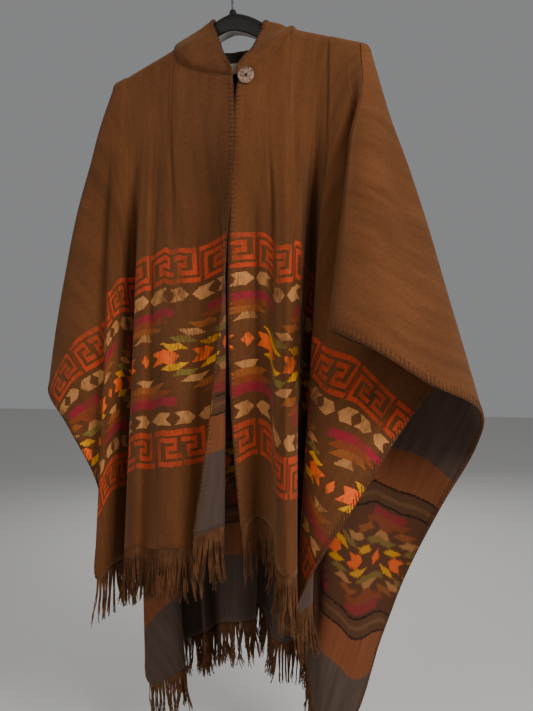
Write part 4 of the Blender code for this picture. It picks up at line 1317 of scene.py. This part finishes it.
def fringe(name, points, lo, hi, seed):
    """Yarns from the hem: start on it, end below it, sideways pull towards the lock's
    middle growing with length, and a small helix round that line."""
    rng = np.random.default_rng(seed)
    hem = points[lo : hi + 1, -1]
    slope = unit(points[lo : hi + 1, -1] - points[lo : hi + 1, -3])
    normal = surface_normals(points)[lo : hi + 1, -1]
    walked = walked_along(hem)
    count = int(walked[-1] / YARN_PITCH)
    want = np.linspace(0.001, walked[-1] - 0.001, count) + rng.normal(0, 0.0003, count)
    place = np.interp(np.clip(want, 0, walked[-1]), walked, np.arange(len(walked)))
    start, way, out = (read_line(line, place) for line in (hem, slope, normal))
    side = np.cross(way, out)
    lock = np.round(want / LOCK)
    pull = (lock * LOCK - want) * 0.55
    lean = np.random.default_rng(seed + 50).normal(0, 0.16, int(lock.max()) + 2)[lock.astype(int)]
    swing = np.random.default_rng(seed + 60).normal(0, 0.20, int(lock.max()) + 2)[lock.astype(int)]
    length = FRINGE_LONG * rng.uniform(0.78, 1.06, count)
    t = np.linspace(0.0, 1.0, 9)[None, :, None]
    down = np.array([0.0, 0.0, -1.0])
    fall = way[:, None] * (1 - 0.75 * t) + down * (0.75 * t) + side[:, None] * (lean[:, None, None] * t)
    fall = fall + out[:, None] * (swing[:, None, None] * t)
    step = unit(fall) * (length / 8)[:, None, None]
    walked = np.concatenate([np.zeros((count, 1, 3)), np.cumsum(step[:, :-1], axis=1)], axis=1)
    path = start[:, None] + walked
    along_hem = read_line(unit(np.gradient(hem, axis=0)), place)
    path = path + along_hem[:, None] * (pull[:, None, None] * smooth_step(t * 1.6))
    phase = rng.uniform(0, 2 * np.pi, count)[:, None, None]
    curl = CURL * t * np.sin(9.0 * t + phase)
    path = path + side[:, None] * curl + out[:, None] * CURL * t * np.cos(7.0 * t + phase)
    path[:, 0] -= way * 0.0015
    radius = (YARN_RADIUS * (1.0 - 0.30 * t[..., 0] ** 2)) * rng.uniform(0.8, 1.15, count)[:, None]
    return strands(name, path, radius, fringe_yarn, sides=4)


front_left_fringe = fringe("front_left_yarn_fringe", left_points, 0, left_corner * FRONT_FINE, 21)
front_right_fringe = fringe(
    "front_right_yarn_fringe", right_points, right_corner * FRONT_FINE, len(right_points) - 1, 22
)
back_fringe = fringe(
    "back_yarn_fringe", back_points, left_end * BACK_FINE, right_start * BACK_FINE, 23
)

# %% [markdown]
# ## Neck tape and label
# Inside the back neck a dark olive tape covers the seam, and a plain cream woven label hangs
# below it.  Both are narrow strips that follow the neckline, so both are the neckline curve
# moved inwards and carried down.

# %% Woven strips
def strip_look(name, dark, pale, pitch):
    """Narrow weave: two crossed sets of ribs at the given pitch."""
    look, tree, shader = new_look(name)
    across, down = (
        math(tree, "SINE", math(tree, "MULTIPLY", part, 2 * np.pi / pitch)) for part in flat_xy(tree)[1:]
    )
    weave = math(tree, "MULTIPLY_ADD", math(tree, "MULTIPLY", across, down), 0.5, 0.5)
    raise_bump(tree, shader, 0.4, 0.0003, weave)
    set_shader(tree, shader, Base_Color=tint(tree, weave, dark, pale), Roughness=0.75)
    return look


def neck_strip(name, top_drop, tall, half, inset, thick, look):
    """The back neckline moved inwards by inset, from top_drop down by tall."""
    across = np.linspace(-half, half, 61)
    down = np.linspace(0.0, 1.0, 9)
    seam = top_line(np.abs(across), True)
    points = np.empty((61, 9, 3))
    points[:, :, 0] = across[:, None]
    points[:, :, 1] = (seam[:, 1] - inset)[:, None] + 0.0003 * down[None, :]
    points[:, :, 2] = (seam[:, 2] + top_drop)[:, None] - tall * down[None, :]
    uv = np.stack(np.meshgrid(across, down * tall, indexing="ij"), axis=-1)
    made = grid_piece(name, points, uv)
    wear(made, look, look)
    return wall(made, thick)


tape = neck_strip("neck_tape_strip", 0.003, 0.012, 0.060, 0.0032, 0.0010,
                  strip_look("olive herringbone tape", "#211d14", "#37301f", 0.0016))
label = neck_strip("neck_label_strip", -0.0093, 0.018, 0.022, 0.0034, 0.0006,
                   strip_look("cream satin label", "#b7ab92", "#d8cdb6", 0.0009))
print("tape and label", tape.name, label.name)

# %% [markdown]
# ## The shell button
# The button is turned from coconut shell and polished: a shallow dish with a rounded rim and
# one hole, mottled pinkish tan and dark brown.  It is a profile carried round its axis.

# %% Button
def turned(name, profile, steps, look):
    """Surface of revolution: each profile point (radius, height) carried round the z axis."""
    angle = np.linspace(0.0, 2 * np.pi, steps, endpoint=False)
    r, h = np.array(profile, float).T
    points = np.stack([
        r[:, None] * np.cos(angle)[None], r[:, None] * np.sin(angle)[None],
        np.broadcast_to(h[:, None], (len(r), steps)),
    ], axis=-1)
    made = grid_piece(name, points, None, close=True, flip=True)
    wear(made, look)
    return made, points


def shell_look():
    """Dark shell with pale mottling, lightly polished."""
    look, tree, shader = new_look("polished coconut shell")
    where = add(tree, "ShaderNodeTexCoord").outputs["Object"]
    blotch = add(tree, "ShaderNodeTexNoise", {"Vector": where, "Scale": 260.0, "Detail": 5.0})
    flecks = add(tree, "ShaderNodeTexVoronoi", {"Vector": where, "Scale": 620.0})
    share = math(tree, "MULTIPLY_ADD", blotch.outputs[0], 2.6, -0.8)
    share = math(tree, "SUBTRACT", share, math(tree, "MULTIPLY", flecks.outputs[0], 0.25))
    raise_bump(tree, shader, 0.25, 0.0004, share)
    shell = tint(tree, share, "#432b20", "#a5836a")
    set_shader(tree, shader, Base_Color=shell, Roughness=0.38, Coat_Weight=0.2)
    return look


seat_lo, seat_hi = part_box("button")
seat = (np.array(seat_lo) + np.array(seat_hi)) / 2
BUTTON_PROFILE = (
    (0.0021, 0.0002), (0.0104, 0.0), (0.0119, 0.0004), (0.0129, 0.0011), (0.0133, 0.0020),
    (0.0130, 0.0028), (0.0122, 0.0034), (0.0110, 0.0036), (0.0098, 0.0033), (0.0088, 0.0029),
    (0.0060, 0.0027), (0.0036, 0.0027), (0.0026, 0.0025), (0.0021, 0.0020), (0.0021, 0.0002),
)
button, disc = turned("shell_button", BUTTON_PROFILE, 64, shell_look())
tilt = np.radians(8.0)
flat = disc - np.array([0.0, 0.0, 0.0018])
faced = np.stack([flat[..., 0], -flat[..., 2], flat[..., 1]], axis=-1)
spun = np.stack([
    faced[..., 0] * np.cos(tilt) - faced[..., 1] * np.sin(tilt),
    faced[..., 0] * np.sin(tilt) + faced[..., 1] * np.cos(tilt), faced[..., 2],
], axis=-1) + seat
move_points(button, spun)
knot_turn = np.linspace(0, 2 * np.pi, 15)
knot_rise = -0.0012 - 0.0006 * np.sin(2 * knot_turn)
knot = np.stack([0.0012 * np.cos(knot_turn), knot_rise, 0.0012 * np.sin(knot_turn)], axis=-1)
button_thread = strands("button_thread", (knot + seat)[None], 0.0007, stitch_yarn)
print("button seat", seat.round(4))

# %% [markdown]
# ## The hanger
# A moulded black suit hanger holds the poncho: one rounded arm, arched in the middle and
# falling to both sides, with a small collar for the hook.  The arm is an oval ring carried
# along the same top line that the cloth lies on, closing to a round end.

# %% Arm and collar
def plastic_look(name, dark, pale, rough, shine):
    """Moulded plastic with a faint grain between two shades."""
    look, tree, shader = new_look(name)
    grain = object_noise(tree, 900.0, 2.0)
    raise_bump(tree, shader, 0.15, 0.0003, grain)
    shade = tint(tree, grain, dark, pale)
    set_shader(tree, shader, Base_Color=shade, Roughness=rough, Specular_IOR_Level=shine)
    return look


plastic = plastic_look("moulded black polypropylene", "#100f0c", "#1e1c17", 0.5, 0.25)
pale_plastic = plastic_look("grey polypropylene underside", "#b9b0a8", "#cbc3bb", 0.9, 0.05)
ARM_STEPS = 161
ARM_SIDES = 36
x = BAR_HALF * np.sin(np.linspace(-np.pi / 2, np.pi / 2, ARM_STEPS))
near_end = np.clip((BAR_HALF - np.abs(x)) / BAR_RADIUS, 0.0, 1.0)
rounding = np.sqrt(np.clip(1 - (1 - near_end) ** 2, 0.0, 1.0))
turn = np.linspace(0.0, 2 * np.pi, ARM_SIDES, endpoint=False)
far = np.abs(x)
eased = np.where(far < 0.03, far**2 * (0.06 - far) / 0.0009, far)
middle = bar_line(eased) - BAR_TALL / 2
across = BAR_RADIUS * np.cos(turn) * np.where(np.sin(turn) < 0, 1.35, 1.0)
across = np.clip(across, -BAR_RADIUS, BAR_RADIUS)
level = np.where(np.sin(turn) > 0, BAR_TALL / 2 - BAR_RADIUS + BAR_RADIUS * np.sin(turn),
                 np.maximum(BAR_TALL / 2 - BAR_RADIUS + 0.026 * np.sin(turn), -BAR_TALL / 2))
arm_points = np.stack([
    np.broadcast_to(x[:, None], (ARM_STEPS, ARM_SIDES)),
    rounding[:, None] * across[None],
    middle[:, None] + rounding[:, None] * level[None],
], axis=-1)
arm = grid_piece("hanger_arm", arm_points, None, close=True)
wear(arm, plastic, pale_plastic)
under = np.where(np.abs(level[:-1] + BAR_TALL / 2) + np.abs(level[1:] + BAR_TALL / 2) < 0.0005, 1, 0)
under = np.concatenate([under, [0]])
arm.data.polygons.foreach_set("material_index", np.tile(under, ARM_STEPS - 1).astype(np.int32))
COLLAR_PROFILE = (
    (0.0, -0.0065), (0.0075, -0.0065), (0.0073, -0.0045), (0.0066, -0.0010), (0.0056, 0.0030),
    (0.0048, 0.0055), (0.0043, 0.0063), (0.0036, 0.0066), (0.0024, 0.0066), (0.0, 0.0066),
)
collar, ring = turned("hanger_collar", COLLAR_PROFILE, 48, plastic)
move_points(collar, ring + np.array([0, 0, BAR_TOP]))
print("arm from", x.min().round(3), "to", x.max().round(3))

# %% [markdown]
# ## The hook
# The hook is plated steel wire, 4 mm thick: a straight stem, a bend, and an open turn over
# the rail.  It is a round wire carried along a smoothed path.

# %% Hook
def steel_look():
    """Dark plated steel: a metal with fine streaks in its roughness."""
    look, tree, shader = new_look("dark nickel plated steel wire")
    streak = object_noise(tree, 160.0, 3.0)
    set_shader(tree, shader, Base_Color=tint(tree, streak, "#3a3a3c", "#6f7073"),
               Roughness=math(tree, "MULTIPLY_ADD", streak, 0.25, 0.2), Metallic=1.0)
    return look


turn_way = np.radians(np.arange(-52, 206, 4.0))
loop = np.stack([HOOK_BEND * np.cos(turn_way), HOOK_CENTRE + HOOK_BEND * np.sin(turn_way)], axis=-1)
stem = [(0.0, BAR_TOP + 0.0060), (0.0, -0.0600), (0.0, -0.0520), (0.0018, -0.0460), (0.0060, -0.0400)]
stem = np.array(stem)
wire_xz = np.concatenate([stem, loop])
walked = walked_along(wire_xz)
smooth_xz = hermite(walked, wire_xz, np.linspace(0, walked[-1], 150))
wire = np.stack([smooth_xz[:, 0], np.zeros(150), smooth_xz[:, 1]], axis=-1)
hook = strands("hanger_hook_wire", wire[None], HOOK_WIRE, steel_look(), sides=16)
print("wire length", round(float(walked[-1]), 3), "m")

# %% [markdown]
# ## What stands for what
# Each piece rides on the one body and takes the place of its solid where it has one; the table
# also names a material slot for each.

PLACES = (
    (front_left, "front_left", "blanket_cloth"), (front_right, "front_right", "blanket_cloth"),
    (back, "back", "blanket_cloth"), (hood_left, "hood_left", "hood_cloth"),
    (hood_right, "hood_right", "hood_cloth"), (front_left_fringe, "front_left_fringe", "fringe_yarn"),
    (front_right_fringe, "front_right_fringe", "fringe_yarn"), (back_fringe, "back_fringe", "fringe_yarn"),
    (tape, "neck_tape", "neck_tape"), (label, "neck_label", "label"), (button, "button", "button_shell"),
    (arm, "hanger_body", "hanger_plastic"), (hook, "hanger_hook", "hook_steel"),
)
for piece, node, slot in PLACES:
    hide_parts(node)
    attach(piece, "root")
small = [(edge, "fringe_yarn") for edge in stitches] + [(roll, "hood_cloth") for roll in neck_rolls]
small += [(button_thread, "fringe_yarn"), (collar, "hanger_plastic")]
for piece, slot in small:
    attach(piece, "root")
print(len(PLACES), "solids dressed")

# %% [markdown]
# ## Floor and light
# A plain pale floor, and soft studio light: a key from the right, so that the folds are
# modelled, a weak fill from the left, a rim from behind and a little bounce from below.

# %% Studio
def soft_light(name, place, aim, size, power):
    """Square area lamp at place, turned to face aim."""
    lamp = bpy.data.lights.new(name, "AREA")
    lamp.shape = "SQUARE"
    lamp.size = size
    lamp.energy = power
    made = bpy.data.objects.new(name, lamp)
    bpy.context.scene.collection.objects.link(made)
    made.location = place
    made.rotation_euler = (Vector(aim) - Vector(place)).to_track_quat("-Z", "Y").to_euler()
    return made


floor_mesh = bpy.data.meshes.new("studio_floor")
floor_mesh.from_pydata([(-6, -6, -1.45), (6, -6, -1.45), (6, 6, -1.45), (-6, 6, -1.45)], [], [(0, 1, 2, 3)])
floor = bpy.data.objects.new("studio_floor", floor_mesh)
bpy.context.scene.collection.objects.link(floor)
floor_look, floor_tree, floor_shader = new_look("pale matt studio floor")
set_shader(floor_tree, floor_shader, Base_Color="#d8d6d2", Roughness=0.9)
wear(floor, floor_look)

soft_light("key", (1.55, -1.00, 0.20), (0.10, 0.0, -0.35), 0.7, 41.0)
soft_light("fill", (-1.3, -2.0, 0.35), (-0.1, 0.0, -0.4), 1.4, 15.0)
soft_light("rim", (-0.6, 2.2, 0.6), (0.0, 0.0, -0.5), 1.6, 24.0)
soft_light("bounce", (0.3, -1.3, -1.35), (0.0, 0.0, -0.5), 1.2, 6.0)
sky = bpy.data.worlds.new("studio")
sky.use_nodes = True
set_shader(sky.node_tree, sky.node_tree.nodes["Background"], Color="#dfe0e2", Strength=0.32)
bpy.context.scene.world = sky
print("four lamps and a pale sky")
